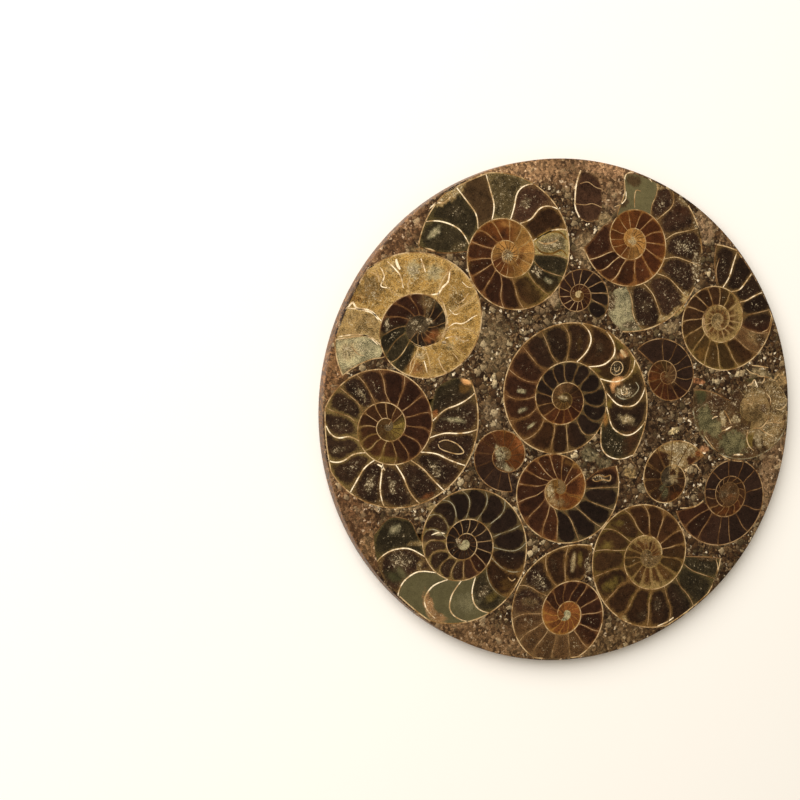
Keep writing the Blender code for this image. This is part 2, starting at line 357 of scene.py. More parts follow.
@dataclass(frozen=True)
class Septum:
    """Partition between two chambers.

    Attributes:
        middle: its angle inwards from the mouth.
        inner, outer: degrees by which its two ends run further in.
        tint: its colour.
        width: its width, in mm.
        wave: degrees by which it swings to and fro.
    """

    middle: float
    inner: float = 0.0
    outer: float = 0.0
    tint: Tint = Tint.DIM
    width: float = 0.3
    wave: float = 0.0

    def degrees(self, across: float) -> float:
        """Its angle at one place.

        Args:
            across: 0 on the whorl's inner wall, 1 on its outer wall.

        Returns:
            Degrees inwards from the mouth.
        """
        if across < BEND_AT:
            share, offset = (BEND_AT - across) / BEND_AT, self.inner
        else:
            share, offset = (across - BEND_AT) / (1.0 - BEND_AT), self.outer
        swing = self.wave * sin(2.0 * pi * across)
        power = BEND_POWER + BEND_POWER_GAIN * abs(offset)
        return self.middle + offset * share ** power + swing


@dataclass(frozen=True)
class Lip:
    """Edge of the mouth, or of a broken stretch.

    Attributes:
        profile: its angle at even steps from the inner to the outer wall.
        tint: its colour.
        width: its width, in mm; an edge of no width leaves no line.
    """

    profile: tuple[float, ...]
    tint: Tint = Tint.SHELL
    width: float = 0.0

    @property
    def middle(self) -> float:
        """Its angle in the middle of the whorl."""
        return self.degrees(0.5)

    def degrees(self, across: float) -> float:
        """Its angle at one place.

        Args:
            across: 0 on the whorl's inner wall, 1 on its outer wall.

        Returns:
            Degrees inwards from the mouth.
        """
        place = min(max(across, 0.0), 1.0) * (len(self.profile) - 1)
        i = min(int(place), len(self.profile) - 2)
        t = place - i
        a, b, c, d = (self.profile[min(max(i + k, 0), len(self.profile) - 1)]
                      for k in (-1, 0, 1, 2))
        return b + 0.5 * t * (c - a + t * (2 * a - 5 * b + 4 * c - d + t * (3 * (b - c) + d - a)))


Edge = Union[Septum, Lip]


@dataclass(frozen=True)
class Patch:
    """Place where a filling differs from the rest of its chamber: a ragged ellipse.

    Attributes:
        centre: its middle on the plate.
        radii: its half axes, in mm.
        look: its filling.
        angle: turn of its first axis, in degrees.
        strength: share of its filling.
        blur: width of its border, as a share of its radii.
    """

    RAGGED_SCALE: ClassVar[float] = 0.9       # how fine the ragged border is
    RAGGED_EDGE: ClassVar[float] = 1.2        # where it ends, in radii
    RAGGED_SWING: ClassVar[float] = 0.5       # how far its end swings, in radii

    centre: Point
    radii: Point
    look: Look
    angle: float = 0.0
    strength: float = 1.0
    blur: float = 0.4

    def weight(self, place: Point) -> float:
        """How much of the patch shows at a point.

        Args:
            place: the point on the plate.

        Returns:
            Share from 0 to its strength.
        """
        dx, dy = place[0] - self.centre[0], place[1] - self.centre[1]
        turn = radians(self.angle)
        u = (dx * cos(turn) + dy * sin(turn)) / self.radii[0]
        v = (dy * cos(turn) - dx * sin(turn)) / self.radii[1]
        ragged = noise.noise(Vector((self.RAGGED_SCALE * place[0], self.RAGGED_SCALE * place[1],
                                     self.angle)))
        edge = self.RAGGED_EDGE + self.RAGGED_SWING * ragged
        share = min(max((edge - hypot(u, v)) / self.blur, 0.0), 1.0)
        return self.strength * share * share * (3.0 - 2.0 * share)


@dataclass(frozen=True)
class Stroke:
    """Line of shell or of crystal that follows no septum.

    Attributes:
        points: points of the plate that it runs through.
        width: its width, in mm.
        tint: its colour.
    """

    points: tuple[Point, ...]
    width: float = 0.35
    tint: Tint = Tint.CREAM

    def line(self) -> list[Point]:
        """Its smooth line.

        Returns:
            Points in steps of no more than RIBBON_STEP.
        """
        pts = [self.points[0], *self.points, self.points[-1]]
        found: list[Point] = []
        for a, b, c, d in zip(pts, pts[1:], pts[2:], pts[3:]):
            count = max(2, ceil(hypot(c[0] - b[0], c[1] - b[1]) / RIBBON_STEP))
            for i in range(count):
                t = i / count
                found.append(tuple(
                    0.5 * (2 * b[k] + (c[k] - a[k]) * t
                           + (2 * a[k] - 5 * b[k] + 4 * c[k] - d[k]) * t * t
                           + (3 * b[k] - a[k] - 3 * c[k] + d[k]) * t ** 3) for k in (0, 1)))
        return [*found, self.points[-1]]


@dataclass(frozen=True)
class Shell:
    """Everything that one slice shows.

    Attributes:
        node: the solid's node that this slice stands for.
        slot: the record's material slot; not used.
        coil: its spiral.
        lip: edge of the mouth.
        septa: known partitions, from the mouth inwards: middle, inner and outer end.
        fills: looks at angles from the mouth inwards; in between they blend.
        step: degrees between the partitions further in, and the bend of their two ends.
        depth: degrees of coil that are drawn before the core.
        core: look inside the last drawn turn.
        bright: septa up to this angle are drawn in cream.
        wall_tint, septum_tint: colours of the other shell lines.
        inner_tint: colour of the septa further in.
        lined: septa further in than this angle leave no line.
        wave: waviness of the septa further in, in degrees.
        gap: stretch of the last turn that is broken away.
        rim_wall: share of the whorl's width that must be left for its wall to be drawn.
        bare: stretches, in degrees, that have lost their outer wall.
        patches: places with another filling.
        strokes: further lines.
    """

    node: str
    slot: str
    coil: Coil
    lip: Edge
    septa: tuple[Bend, ...]
    fills: tuple[tuple[float, Look], ...]
    step: Bend = (24.0, 6.0, -3.0)
    depth: float = 900.0
    core: Look = Look.PALE
    bright: float = 0.0
    wall_tint: Tint = Tint.TAN
    septum_tint: Tint = Tint.DIM
    inner_tint: Tint = Tint.FAINT
    lined: float = 2000.0
    wave: float = 3.0
    gap: Optional[tuple[Lip, Lip]] = None
    rim_wall: float = WALL_KEPT
    bare: tuple[Point, ...] = ()
    patches: tuple[Patch, ...] = ()
    strokes: tuple[Stroke, ...] = ()


def evenly(first: float, step: float, count: int, inner: float, outer: float) -> tuple[Bend, ...]:
    """Septa at even angles, all bent alike.

    Args:
        first: middle of the first one, in degrees.
        step: degrees from one to the next.
        count: how many.
        inner, outer: degrees by which their two ends run further in.

    Returns:
        Their middles and ends.
    """
    return tuple((first + step * i, inner, outer) for i in range(count))


def stops(*rows: tuple[Union[Look, float], ...]) -> tuple[tuple[float, Look], ...]:
    """Looks along a coil.

    Args:
        rows: a look, then the angles at which it is there in full.

    Returns:
        Pairs of an angle and a look.
    """
    return tuple((degrees, look) for look, *angles in rows for degrees in angles)


SHELLS: tuple[Shell, ...] = (
    Shell(
        node="ammonite_west", slot="dark_calcite",
        coil=Coil(centre=(-55.5, -3.7), mouth_radius=29.5, mouth_angle=33, winding=Winding.CLOCKWISE,
                  growth=1.81, tighten=0.17, oval=0.016, oval_angle=148),
        lip=Lip((8, -3, -3, -1, 5)),
        septa=((17, 10, -4), (39, 9, -4), (61, 9, -2), (82, 6, -1), (105, 6, -5), (131, 0, -5),
               (154, -9, 0), (176, -12, 11), (200, -13, 14), (228, -12, 2), (252, -9, 0), (276, 0, -4),
               (300, 12, -5), (328, 3, -5), (352, -4, 2), (372, -6, 5), (394, -4, 7), (418, 0, 10),
               (443, -2, 8), (465, 0, 9), (494, -9, 7), (521, -10, 8), (547, -10, -6), (576, -6, -6),
               (602, -5, 3), (630, 0, 5), (660, 8, 0), (690, 9, 0), (715, 5, -2)),
        fills=stops((Look.MOSS, 0), (Look.DRUSY, 30, 150), (Look.WEB, 160, 235), (Look.DRUSY, 265),
                    (Look.OXBLOOD, 310, 350, 440), (Look.TAWNY, 480, 560), (Look.SEPIA, 600, 715),
                    (Look.LIME, 740), (Look.OLIVE, 860, 1000)),
        step=(24, 2, 2), depth=1060, core=Look.SMEAR, bright=215, wall_tint=Tint.SHELL,
        septum_tint=Tint.TAN, inner_tint=Tint.TAN, rim_wall=0.5,
        patches=(
            Patch((-31.0, 9.2), (2.2, 1.2), Look.APRICOT, -24, 1.0, 0.8),
            Patch((-31.4, 7.2), (2.2, 1.8), Look.HONEY, 0, 0.8, 1.0),
            Patch((-40.6, -0.4), (0.9, 1.2), Look.RUST, 0, 0.8),
            Patch((-43.0, -24.4), (2.2, 1.0), Look.RUST, 18, 0.6, 1.0),
            Patch((-34.4, -2.2), (3.8, 0.8), Look.CLAY, -8, 0.7, 0.8),
            Patch((-35.8, -10.3), (3.4, 1.4), Look.UMBRA, -22, 0.9),
            Patch((-40.8, -16.4), (3.2, 1.3), Look.SMEAR, -56, 0.9, 0.7),
            Patch((-55.6, -13.2), (5.0, 1.0), Look.LIME, -4, 0.7, 1.0),
            Patch((-54.0, -21.2), (1.1, 2.4), Look.SMEAR, 8, 1.0, 0.7),
            Patch((-60.8, -20.4), (1.5, 3.2), Look.SMEAR, -16, 0.9, 0.8),
            Patch((-47.4, -19.6), (1.6, 2.0), Look.SMEAR, 0, 0.25, 1.0),
            Patch((-70.2, -10.2), (2.4, 0.8), Look.SMEAR, 12, 0.6),
            Patch((-69.6, -3.2), (1.4, 0.8), Look.SMEAR, 0, 0.3),
            Patch((-63.6, 5.8), (0.5, 2.2), Look.SMEAR, 28, 0.5),
        ),
        strokes=(
            Stroke(((-39.6, -8.6), (-37.4, -8.0), (-34.0, -9.2), (-31.8, -11.6), (-33.6, -12.2),
                    (-37.0, -11.4), (-39.2, -10.4), (-39.8, -9.2)), 0.35, Tint.SHELL),
            Stroke(((-64.3, 7.8), (-63.6, 6.2), (-62.4, 5.4), (-62.4, 3.4)), 0.35, Tint.GREY),
            Stroke(((-58.6, -14.6), (-57.4, -15.2), (-56.2, -16.4)), 0.5),
        ),
    ),
    Shell(
        node="ammonite_north_west", slot="gold_calcite",
        coil=Coil(centre=(-45.2, 25.3), mouth_radius=27.0, mouth_angle=-149, winding=Winding.CLOCKWISE,
                  growth=1.77, tighten=0.25, oval=0.024, oval_angle=23),
        lip=Lip((-8, -2, 0.5, 1, 0.5), Tint.SHELL, 0.3),
        septa=((24, -17, 0), (48, -8, -2), (80, 6, 3), (146, 8, 5), (186, 7, -3), (214, 8, 8), (244, 8, 4),
               (286, 4, 4), (310, -4, 4), (336, 4, 6)),
        fills=stops((Look.CLAY, 0, 22), (Look.SAND, 26, 44), (Look.GOLD, 52, 312), (Look.MOSS, 320, 385),
                    (Look.OXBLOOD, 400, 480), (Look.DIRT, 505), (Look.MOSS, 530), (Look.BLACK, 600, 640),
                    (Look.MOSS, 690, 760)),
        step=(26, 8, -8), depth=700, core=Look.SPECK, bright=60, wall_tint=Tint.SHELL,
        septum_tint=Tint.SHELL, inner_tint=Tint.DIM,
        patches=(
            Patch((-38.8, 22.8), (1.4, 3.2), Look.GOLD, -30, 0.8, 0.8),
            Patch((-41.6, 22.6), (3.0, 1.8), Look.RUST, 30, 0.9, 1.0),
            Patch((-33.0, 17.0), (4.0, 6.0), Look.HONEY, -32, 0.35, 1.2),
            Patch((-36.2, 19.6), (1.6, 1.4), Look.CLAY, 0, 0.5, 1.0),
            Patch((-41.0, 28.4), (2.4, 2.6), Look.BLACK, 0, 1.0, 0.6),
            Patch((-45.6, 21.8), (1.6, 1.6), Look.BLACK, 0, 0.9, 0.8),
            Patch((-42.4, 27.0), (1.6, 1.0), Look.SMEAR, 0, 1.0, 0.6),
            Patch((-55.6, 26.0), (1.0, 2.8), Look.SMEAR, 0, 0.9, 0.8),
            Patch((-45.6, 16.8), (2.4, 1.0), Look.CHALK, -20, 0.8, 0.8),
            Patch((-46.6, 13.2), (3.0, 2.8), Look.RUST, 0, 0.7, 1.0),
            Patch((-46.8, 25.6), (3.4, 2.6), Look.SMEAR, -50, 0.6, 0.6),
            Patch((-43.6, 32.4), (2.2, 1.8), Look.DIRT, 0, 0.8, 0.8),
            Patch((-47.5, 42.0), (2.4, 3.0), Look.CLAY, 0, 0.8, 0.8),
            Patch((-41.0, 41.0), (3.2, 2.6), Look.CLAY, 0, 0.7, 0.8),
            Patch((-60.5, 36.5), (4.0, 4.6), Look.DIRT, 40, 0.7, 0.8),
            Patch((-54.0, 42.6), (2.6, 2.0), Look.CHALK, 0, 0.5, 0.8),
            Patch((-65.0, 33.8), (3.0, 1.2), Look.RUST, 0, 0.3, 0.8),
            Patch((-36.5, 41.0), (0.9, 3.0), Look.RUST, 0, 0.4, 0.8),
            Patch((-34.0, 33.0), (3.6, 2.4), Look.DIRT, 40, 0.4, 0.8),
            Patch((-44.0, 12.6), (4.0, 2.0), Look.DIRT, 0, 0.4, 0.8),
            Patch((-67.6, 18.4), (3.4, 3.2), Look.CHALK, 0, 0.7, 0.8),
            Patch((-67.0, 13.0), (2.4, 1.2), Look.GRAVEL, 30, 0.6, 0.8),
        ),
        strokes=(
            Stroke(((-69.8, 30.8), (-67.6, 31.0), (-66.0, 32.4), (-64.8, 30.8), (-62.0, 30.4),
                    (-60.0, 29.6), (-58.2, 27.4)), 0.6),
            Stroke(((-42.4, 34.6), (-39.8, 35.0), (-38.4, 36.8), (-36.8, 38.4), (-36.2, 41.4)), 0.55),
            Stroke(((-52.8, 45.0), (-52.4, 43.4), (-51.6, 42.0)), 0.8),
            Stroke(((-55.6, 44.4), (-53.4, 42.4), (-51.4, 40.0), (-50.6, 36.6)), 0.4),
            Stroke(((-45.2, 45.2), (-44.4, 43.2), (-43.8, 41.2)), 0.4),
            Stroke(((-57.6, 42.6), (-56.4, 40.0), (-57.4, 37.2), (-54.6, 36.6)), 0.35),
            Stroke(((-64.6, 39.8), (-62.2, 41.8), (-59.4, 43.2)), 0.4),
            Stroke(((-60.6, 41.2), (-58.4, 40.2), (-58.0, 38.2)), 0.3),
            Stroke(((-40.0, 34.6), (-38.4, 32.4), (-37.4, 29.4), (-37.0, 26.4), (-37.2, 24.4),
                    (-38.4, 22.2), (-40.4, 20.7)), 0.5, Tint.SHELL),
            Stroke(((-37.2, 24.6), (-35.6, 25.8), (-34.4, 26.3), (-32.6, 26.1), (-31.0, 26.7),
                    (-29.2, 27.9), (-27.6, 28.6)), 0.3),
            Stroke(((-37.6, 21.9), (-35.8, 22.3), (-34.2, 22.2), (-32.8, 21.4), (-31.4, 21.0),
                    (-30.4, 21.4)), 0.4),
            Stroke(((-36.9, 11.7), (-37.9, 12.4), (-39.0, 14.0), (-39.7, 16.0)), 0.4),
            Stroke(((-43.2, 11.8), (-43.6, 13.4), (-44.2, 15.4)), 0.3),
            Stroke(((-48.6, 12.6), (-48.2, 15.0), (-46.8, 16.7), (-45.2, 16.5),
                    (-43.6, 17.6)), 0.35, Tint.SHELL),
            Stroke(((-48.8, 21.6), (-47.0, 20.1), (-45.0, 19.4), (-43.6, 18.2)), 0.5, Tint.SHELL),
            Stroke(((-35.4, 17.6), (-34.2, 16.4), (-33.2, 15.0)), 0.25),
            Stroke(((-33.4, 19.2), (-32.2, 17.8), (-31.2, 17.2)), 0.25, Tint.SHELL),
            Stroke(((-38.6, 20.6), (-37.9, 20.7), (-37.4, 20.5)), 0.9, Tint.WHITE),
            Stroke(((-33.6, 32.0), (-31.8, 33.2), (-30.4, 35.0)), 0.3),
            Stroke(((-36.4, 30.4), (-34.6, 28.8), (-33.0, 29.4)), 0.25),
            Stroke(((-32.4, 38.4), (-30.8, 37.0), (-29.4, 36.6)), 0.25),
            Stroke(((-48.2, 34.4), (-49.2, 37.4), (-48.2, 40.4)), 0.25, Tint.SHELL),
            Stroke(((-66.4, 19.8), (-64.6, 17.6), (-62.6, 17.0)), 0.25, Tint.SHELL),
            Stroke(((-71.4, 22.4), (-68.6, 22.8), (-65.0, 23.2), (-61.4, 22.6), (-58.4, 20.2)), 0.4),
        ),
    ),
    Shell(
        node="ammonite_north", slot="olive_calcite",
        coil=Coil(centre=(-17.9, 46.4), mouth_radius=28.2, mouth_angle=175, winding=Winding.CLOCKWISE,
                  growth=2.08, tighten=0.08, oval=0.020, oval_angle=124),
        lip=Septum(-5, 3, 4),
        septa=((20, -13, -6), (45, -13, 0), (69, -11, 0), (94, -4, 13), (121, -14, 14), (147, 0, 6),
               (174, 0, 4), (196, -11, -2), (219, -6, -2), (253, 3, -5), (278, 12, -7), (303, 4, -3),
               (325, 2, 0), (346, -5, 0), (371, 3, 1), (398, 4, -8), (421, 4, -5), (450, 3, -3),
               (476, 1, -2), (505, -4, -4), (530, -6, 0), (554, -6, 5), (580, -2, 3), (602, -2, 8),
               (628, -4, 4), (650, -3, 3), (672, 0, 0), (694, 3, -2)),
        fills=stops((Look.MOSS, 0, 44), (Look.UMBRA, 46, 68), (Look.SAGE, 70, 93), (Look.PURPLE, 95, 118),
                    (Look.BROWN, 124, 146), (Look.PALE, 148, 173), (Look.MOSS, 175, 196), (Look.OLIVE, 225),
                    (Look.SEPIA, 254), (Look.OXBLOOD, 278), (Look.GARNET, 340, 380), (Look.AMBER, 410, 450),
                    (Look.TOPAZ, 480), (Look.HALO, 530), (Look.TOPAZ, 600), (Look.AMBER, 650),
                    (Look.UMBER, 690), (Look.HALO, 720, 1300)),
        step=(25, 0, 0), depth=1240, core=Look.CHALK, bright=150, wall_tint=Tint.SHELL,
        septum_tint=Tint.TAN, inner_tint=Tint.TAN, rim_wall=0.5,
        patches=(
            Patch((-31.2, 43.0), (2.0, 1.6), Look.TOPAZ, 0, 0.6, 1.0),
            Patch((-36.0, 64.8), (5.6, 2.3), Look.SAND, 38),
            Patch((-34.0, 66.6), (2.0, 1.0), Look.CHALK, 38, 1.0, 0.6),
            Patch((-8.8, 41.6), (2.0, 1.8), Look.SMEAR, -20, 0.9, 0.7),
            Patch((-5.2, 38.8), (1.6, 0.9), Look.CLAY, -20, 0.8, 0.8),
            Patch((-17.9, 46.2), (2.0, 1.9), Look.CHALK, 0, 0.8, 0.7),
            Patch((-18.4, 42.2), (2.8, 1.4), Look.AMBER, 0, 0.9, 1.0),
            Patch((-14.4, 44.6), (1.0, 2.4), Look.AMBER, -30, 0.8, 1.0),
            Patch((-13.4, 47.6), (1.0, 1.6), Look.AMBER, 0, 0.6, 1.0),
            Patch((-19.4, 52.2), (1.5, 1.7), Look.GARNET, 0, 0.9, 0.8),
            Patch((-22.6, 50.6), (1.6, 1.4), Look.GARNET, 0, 0.9, 0.8),
            Patch((-18.4, 55.2), (3.2, 1.0), Look.HALO, -6, 0.6, 1.0),
            Patch((-41.0, 52.8), (2.8, 1.2), Look.CLAY, 42, 0.9, 1.0),
            Patch((-33.6, 48.4), (3.6, 1.4), Look.SAGE, 30, 0.9, 1.0),
            Patch((-12.4, 61.8), (1.8, 1.4), Look.SMEAR, 40, 0.7),
            Patch((-35.0, 59.0), (2.6, 2.0), Look.SMEAR, 0, 0.2),
        ),
        strokes=(
            Stroke(((-47.0, 47.7), (-44.6, 48.1), (-42.0, 47.8), (-40.2, 47.0)), 0.45, Tint.SHELL),
            Stroke(((-9.6, 50.2), (-7.6, 52.0), (-4.6, 53.2), (-1.4, 53.0), (0.8, 51.0)), 0.7, Tint.OLIVE),
            Stroke(((-9.4, 49.2), (-7.4, 47.2), (-4.0, 46.8), (-1.0, 47.8), (1.0, 46.0)), 0.6, Tint.OLIVE),
            Stroke(((-8.4, 50.4), (-6.4, 49.7), (-4.0, 50.0), (-2.0, 50.9)), 0.5, Tint.SHELL),
            Stroke(((-42.6, 59.6), (-40.4, 61.4), (-38.2, 61.4), (-36.0, 63.2)), 0.45),
            Stroke(((-38.4, 64.2), (-35.6, 65.4), (-33.0, 67.4)), 0.4),
        ),
    ),
    Shell(
        node="ammonite_north_east", slot="brown_calcite",
        coil=Coil(centre=(22.0, 50.9), mouth_radius=27.4, mouth_angle=-97, winding=Winding.COUNTER,
                  growth=1.83, tighten=0.14, oval=0.028, oval_angle=122),
        lip=Lip((-14, -17, -15.8, -12.5, -1)),
        septa=((6, -8, 8), (30, -8, -1), (55, -9, -1), (80, -10, 0), (107, -8, 1), (134, 0, 14),
               (155, -8, 5), (303, 3, -3), (322, 5, -6), (342, 6, -6), (371, 5, -3), (400, 4, 0),
               (427, 3, 1), (451, 0, 0), (476, -6, -5), (503, 4, -3), (527, 1, -6), (554, 0, 1),
               (580, -6, -1), (610, -10, 4), (636, -5, 2), (660, 7, -6), (688, 1, 0), (712, 0, 0)),
        fills=stops((Look.CLAY, 0, 4), (Look.DRUSY, 8, 107), (Look.PURPLE, 120), (Look.DRUSY, 150),
                    (Look.PURPLE, 154), (Look.MUD, 155.5, 200), (Look.OXBLOOD, 230, 310),
                    (Look.GARNET, 345), (Look.UMBER, 400, 500), (Look.AMBER, 560, 690),
                    (Look.HALO, 740, 1300)),
        step=(24, 0, 0), depth=900, core=Look.HALO, bright=0, wall_tint=Tint.SHELL, septum_tint=Tint.SHELL,
        inner_tint=Tint.TAN, bare=((64, 100), (128, 200)),
        gap=(Lip((222, 205, 196, 194.5, 194), Tint.SHELL, 0.3),
        Lip((236, 253, 271, 281, 286), Tint.DIM, 0.2)),
        patches=(
            Patch((22.1, 50.6), (1.1, 1.3), Look.CHALK, 0, 0.9, 0.6),
            Patch((26.4, 31.2), (2.6, 2.0), Look.SMEAR, 0, 0.5, 1.0),
            Patch((22.4, 68.8), (2.8, 2.0), Look.UMBRA, -10, 0.9, 0.6),
            Patch((18.6, 62.0), (2.6, 2.6), Look.UMBRA, 0, 0.9, 0.8),
            Patch((44.0, 41.0), (2.2, 7.0), Look.GRAVEL, 8),
            Patch((42.0, 63.0), (4.4, 2.2), Look.GRAVEL, -40),
            Patch((43.6, 56.4), (1.3, 3.0), Look.GRAVEL, 15, 0.8),
            Patch((35.6, 68.0), (3.4, 1.6), Look.GRAVEL, -30),
            Patch((31.2, 67.2), (1.4, 1.2), Look.SAND, 0, 0.8),
            Patch((31.8, 45.0), (1.0, 5.0), Look.AMBER, -8, 0.8, 0.8),
            Patch((39.7, 33.6), (1.5, 1.8), Look.SAND, 0, 0.9, 0.5),
            Patch((36.4, 29.4), (2.4, 1.0), Look.SAND, 44, 0.9, 0.6),
            Patch((32.2, 27.4), (1.9, 1.0), Look.SAND, 14, 0.9, 0.6),
            Patch((38.8, 62.4), (2.6, 1.1), Look.TAN, -35, 0.7, 0.7),
            Patch((14.6, 32.0), (2.2, 3.6), Look.GRAVEL, -10, 1.0, 0.6),
            Patch((21.6, 25.4), (4.4, 1.5), Look.SMEAR, 6, 0.9, 0.8),
            Patch((38.2, 60.0), (3.6, 1.4), Look.UMBER, 0, 0.4, 1.0),
        ),
        strokes=(
            Stroke(((43.6, 55.4), (44.4, 53.0), (44.9, 50.0), (45.2, 47.0)), 0.45, Tint.SHELL),
            Stroke(((19.4, 68.8), (20.2, 70.8), (23.6, 71.2), (27.0, 69.8), (28.4, 68.4)), 0.4),
            Stroke(((22.8, 60.6), (22.7, 63.4), (23.2, 65.8), (24.8, 65.6)), 0.3, Tint.SHELL),
            Stroke(((16.2, 60.8), (18.2, 61.6), (19.8, 63.2), (19.9, 65.4)), 0.3),
        ),
    ),
    Shell(
        node="ammonite_east_high", slot="brown_calcite",
        coil=Coil(centre=(50.9, 26.8), mouth_radius=22.6, mouth_angle=91, winding=Winding.CLOCKWISE,
                  growth=2.25, tighten=0.0, oval=0.012, oval_angle=92),
        lip=Septum(-4, 2, 3),
        septa=((17, -8, 1), (40, -13, 0), (60, -6, 2), (82, 2, -1), (108, -3, -5), (133, 1, -6),
               (158, 6, -4), (181, 8, -3), (203, 2, -3), (226, 4, -3), (249, 4, -4), (272, 4, -4),
               (294, 3, -3), (316, 2, -3), (340, -2, -1), (365, -2, -3), (387, -3, -2), (413, 0, -3),
               (437, -4, 4), (457, -2, 2), (478, -3, 2), (499, 6, 0), (521, -2, 3), (544, 2, -3),
               (569, 0, 0), (588, -4, 2), (612, 0, 0), (639, 0, 0), (668, 0, 0)),
        fills=stops((Look.BLACK, 0, 60, 90), (Look.OXBLOOD, 107), (Look.LOAM, 110, 131), (Look.SEPIA, 136),
                    (Look.OLIVE, 170, 230), (Look.BROWN, 270, 360), (Look.OLIVE, 380),
                    (Look.RIB, 420, 1100)),
        step=(24, 0, 0), depth=880, core=Look.TAN, bright=70, wall_tint=Tint.SHELL, septum_tint=Tint.TAN,
        inner_tint=Tint.TAN,
        patches=(
            Patch((62.6, 21.4), (3.0, 2.0), Look.TAN, -30, 0.5, 0.8),
            Patch((45.6, 16.4), (2.8, 2.0), Look.HONEY, -30, 0.8, 0.8),
            Patch((47.0, 40.0), (3.4, 3.0), Look.GRAVEL, 0),
            Patch((65.5, 20.5), (1.4, 2.0), Look.GRAVEL, 30, 0.6),
        ),
        strokes=(
            Stroke(((47.8, 30.4), (46.4, 28.8), (46.0, 26.6), (46.4, 24.4), (47.6, 22.0)), 0.6, Tint.TAN),
            Stroke(((50.4, 38.4), (50.0, 42.0), (51.0, 45.6)), 0.3, Tint.TAN),
            Stroke(((68.8, 27.6), (68.0, 24.2), (65.8, 23.0)), 0.3, Tint.SHELL),
        ),
    ),
    Shell(
        node="ammonite_east_pale", slot="pale_calcite",
        coil=Coil(centre=(62.8, -0.4), mouth_radius=21.0, mouth_angle=164, winding=Winding.COUNTER,
                  growth=3.03, tighten=-0.15, oval=0.031, oval_angle=37),
        lip=Septum(-6, 3, 4),
        septa=((29, 4, 2), (54, 6, 0), (84, 4, 8), (106, 4, 8), (129, 4, 8), (152, 4, 8), (178, 4, 8),
               (206, 2, 0), (232, 2, 0), (258, 2, 0), (290, 0, 0), (325, 0, 0)),
        fills=stops((Look.GRAVEL, 0, 720)),
        step=(60, 4, 0), depth=460, core=Look.TAN, bright=0, wall_tint=Tint.GREY, septum_tint=Tint.TAN,
        lined=0.0, bare=((-10, 12), (190, 470)),
        patches=(
            Patch((67.0, 7.4), (4.4, 1.6), Look.DIRT, -20, 0.8, 1.0),
            Patch((45.2, 4.2), (2.2, 3.2), Look.FERN, -10, 1.0, 0.7),
            Patch((50.6, 2.4), (3.0, 2.6), Look.PURPLE, 0, 0.8, 1.0),
            Patch((46.8, -3.6), (2.8, 4.4), Look.CELADON, 15),
            Patch((50.0, -6.2), (2.2, 3.0), Look.CELADON, 0, 0.9),
            Patch((56.6, 4.4), (2.8, 4.6), Look.PURPLE, 0, 0.6, 1.0),
            Patch((61.4, 9.4), (2.6, 2.0), Look.FERN, -20, 0.8, 0.8),
            Patch((63.4, 3.6), (3.6, 2.8), Look.TAN, 0, 0.85),
            Patch((70.4, 5.6), (3.6, 3.4), Look.TAN, 20, 0.8),
            Patch((72.4, 0.6), (3.0, 3.0), Look.TAN, 0, 1.0),
            Patch((70.6, -4.6), (2.8, 3.4), Look.TAN, 0, 0.8),
            Patch((62.6, -2.8), (5.0, 3.0), Look.OLIVE, 0, 0.5),
            Patch((66.6, -0.6), (1.7, 1.2), Look.PURPLE, 0, 0.9),
            Patch((56.4, -11.0), (4.6, 3.8), Look.CELADON, 0),
            Patch((62.0, -9.6), (1.2, 3.2), Look.LIME, -10, 0.8),
            Patch((64.6, -10.4), (1.3, 3.0), Look.CHALK, 16, 1.0, 0.8),
            Patch((69.0, -9.4), (3.0, 3.6), Look.TAN, 30),
            Patch((57.0, -3.6), (1.4, 1.2), Look.CHALK, 0, 0.9),
            Patch((52.6, -3.4), (0.8, 2.4), Look.CHALK, 10, 0.9),
            Patch((63.0, 6.9), (1.6, 0.6), Look.CHALK, 0, 0.9),
            Patch((66.2, -7.4), (3.0, 2.4), Look.CHALK, 30, 0.6, 1.0),
            Patch((61.6, -7.8), (2.6, 1.0), Look.TAN, 0, 0.8, 1.0),
        ),
        strokes=(
            Stroke(((52.2, -7.2), (53.6, -6.8), (55.6, -5.8)), 0.45),
            Stroke(((53.0, -0.8), (54.2, -2.6), (55.4, -5.0)), 0.4, Tint.SHELL),
            Stroke(((49.0, -3.4), (49.8, -2.8), (50.8, -2.7)), 0.45),
            Stroke(((60.8, 6.6), (62.4, 7.2), (63.2, 8.4), (64.0, 6.8), (64.4, 6.2)), 0.4),
            Stroke(((60.4, 11.8), (62.0, 10.6), (64.0, 10.0), (65.4, 9.4), (67.0, 9.3),
                    (70.4, 8.0)), 0.35, Tint.SHELL),
            Stroke(((66.9, 9.4), (66.6, 8.2), (65.8, 7.2)), 0.4, Tint.SHELL),
            Stroke(((62.4, 12.8), (65.0, 12.5), (68.0, 12.0)), 0.45, Tint.SHELL),
            Stroke(((60.8, 1.2), (61.6, 1.0), (62.8, 0.8)), 0.3, Tint.SHELL),
            Stroke(((67.4, 4.2), (68.8, 2.4), (68.6, 0.4)), 0.3, Tint.SHELL),
            Stroke(((70.6, -0.6), (72.4, -1.0), (74.2, 0.6)), 0.3, Tint.SHELL),
            Stroke(((68.4, -2.8), (67.4, -4.8), (65.6, -6.4), (63.0, -6.6)), 0.35, Tint.SHELL),
            Stroke(((67.2, -5.2), (69.8, -4.8), (72.0, -5.0), (74.0, -4.2)), 0.3, Tint.SHELL),
            Stroke(((65.4, -6.6), (67.2, -8.0), (69.8, -9.2)), 0.4, Tint.SHELL),
            Stroke(((61.2, -7.0), (60.8, -9.6), (61.6, -12.0), (63.2, -13.4)), 0.35, Tint.SHELL),
            Stroke(((56.4, -14.6), (58.0, -14.5), (59.6, -14.6)), 0.5),
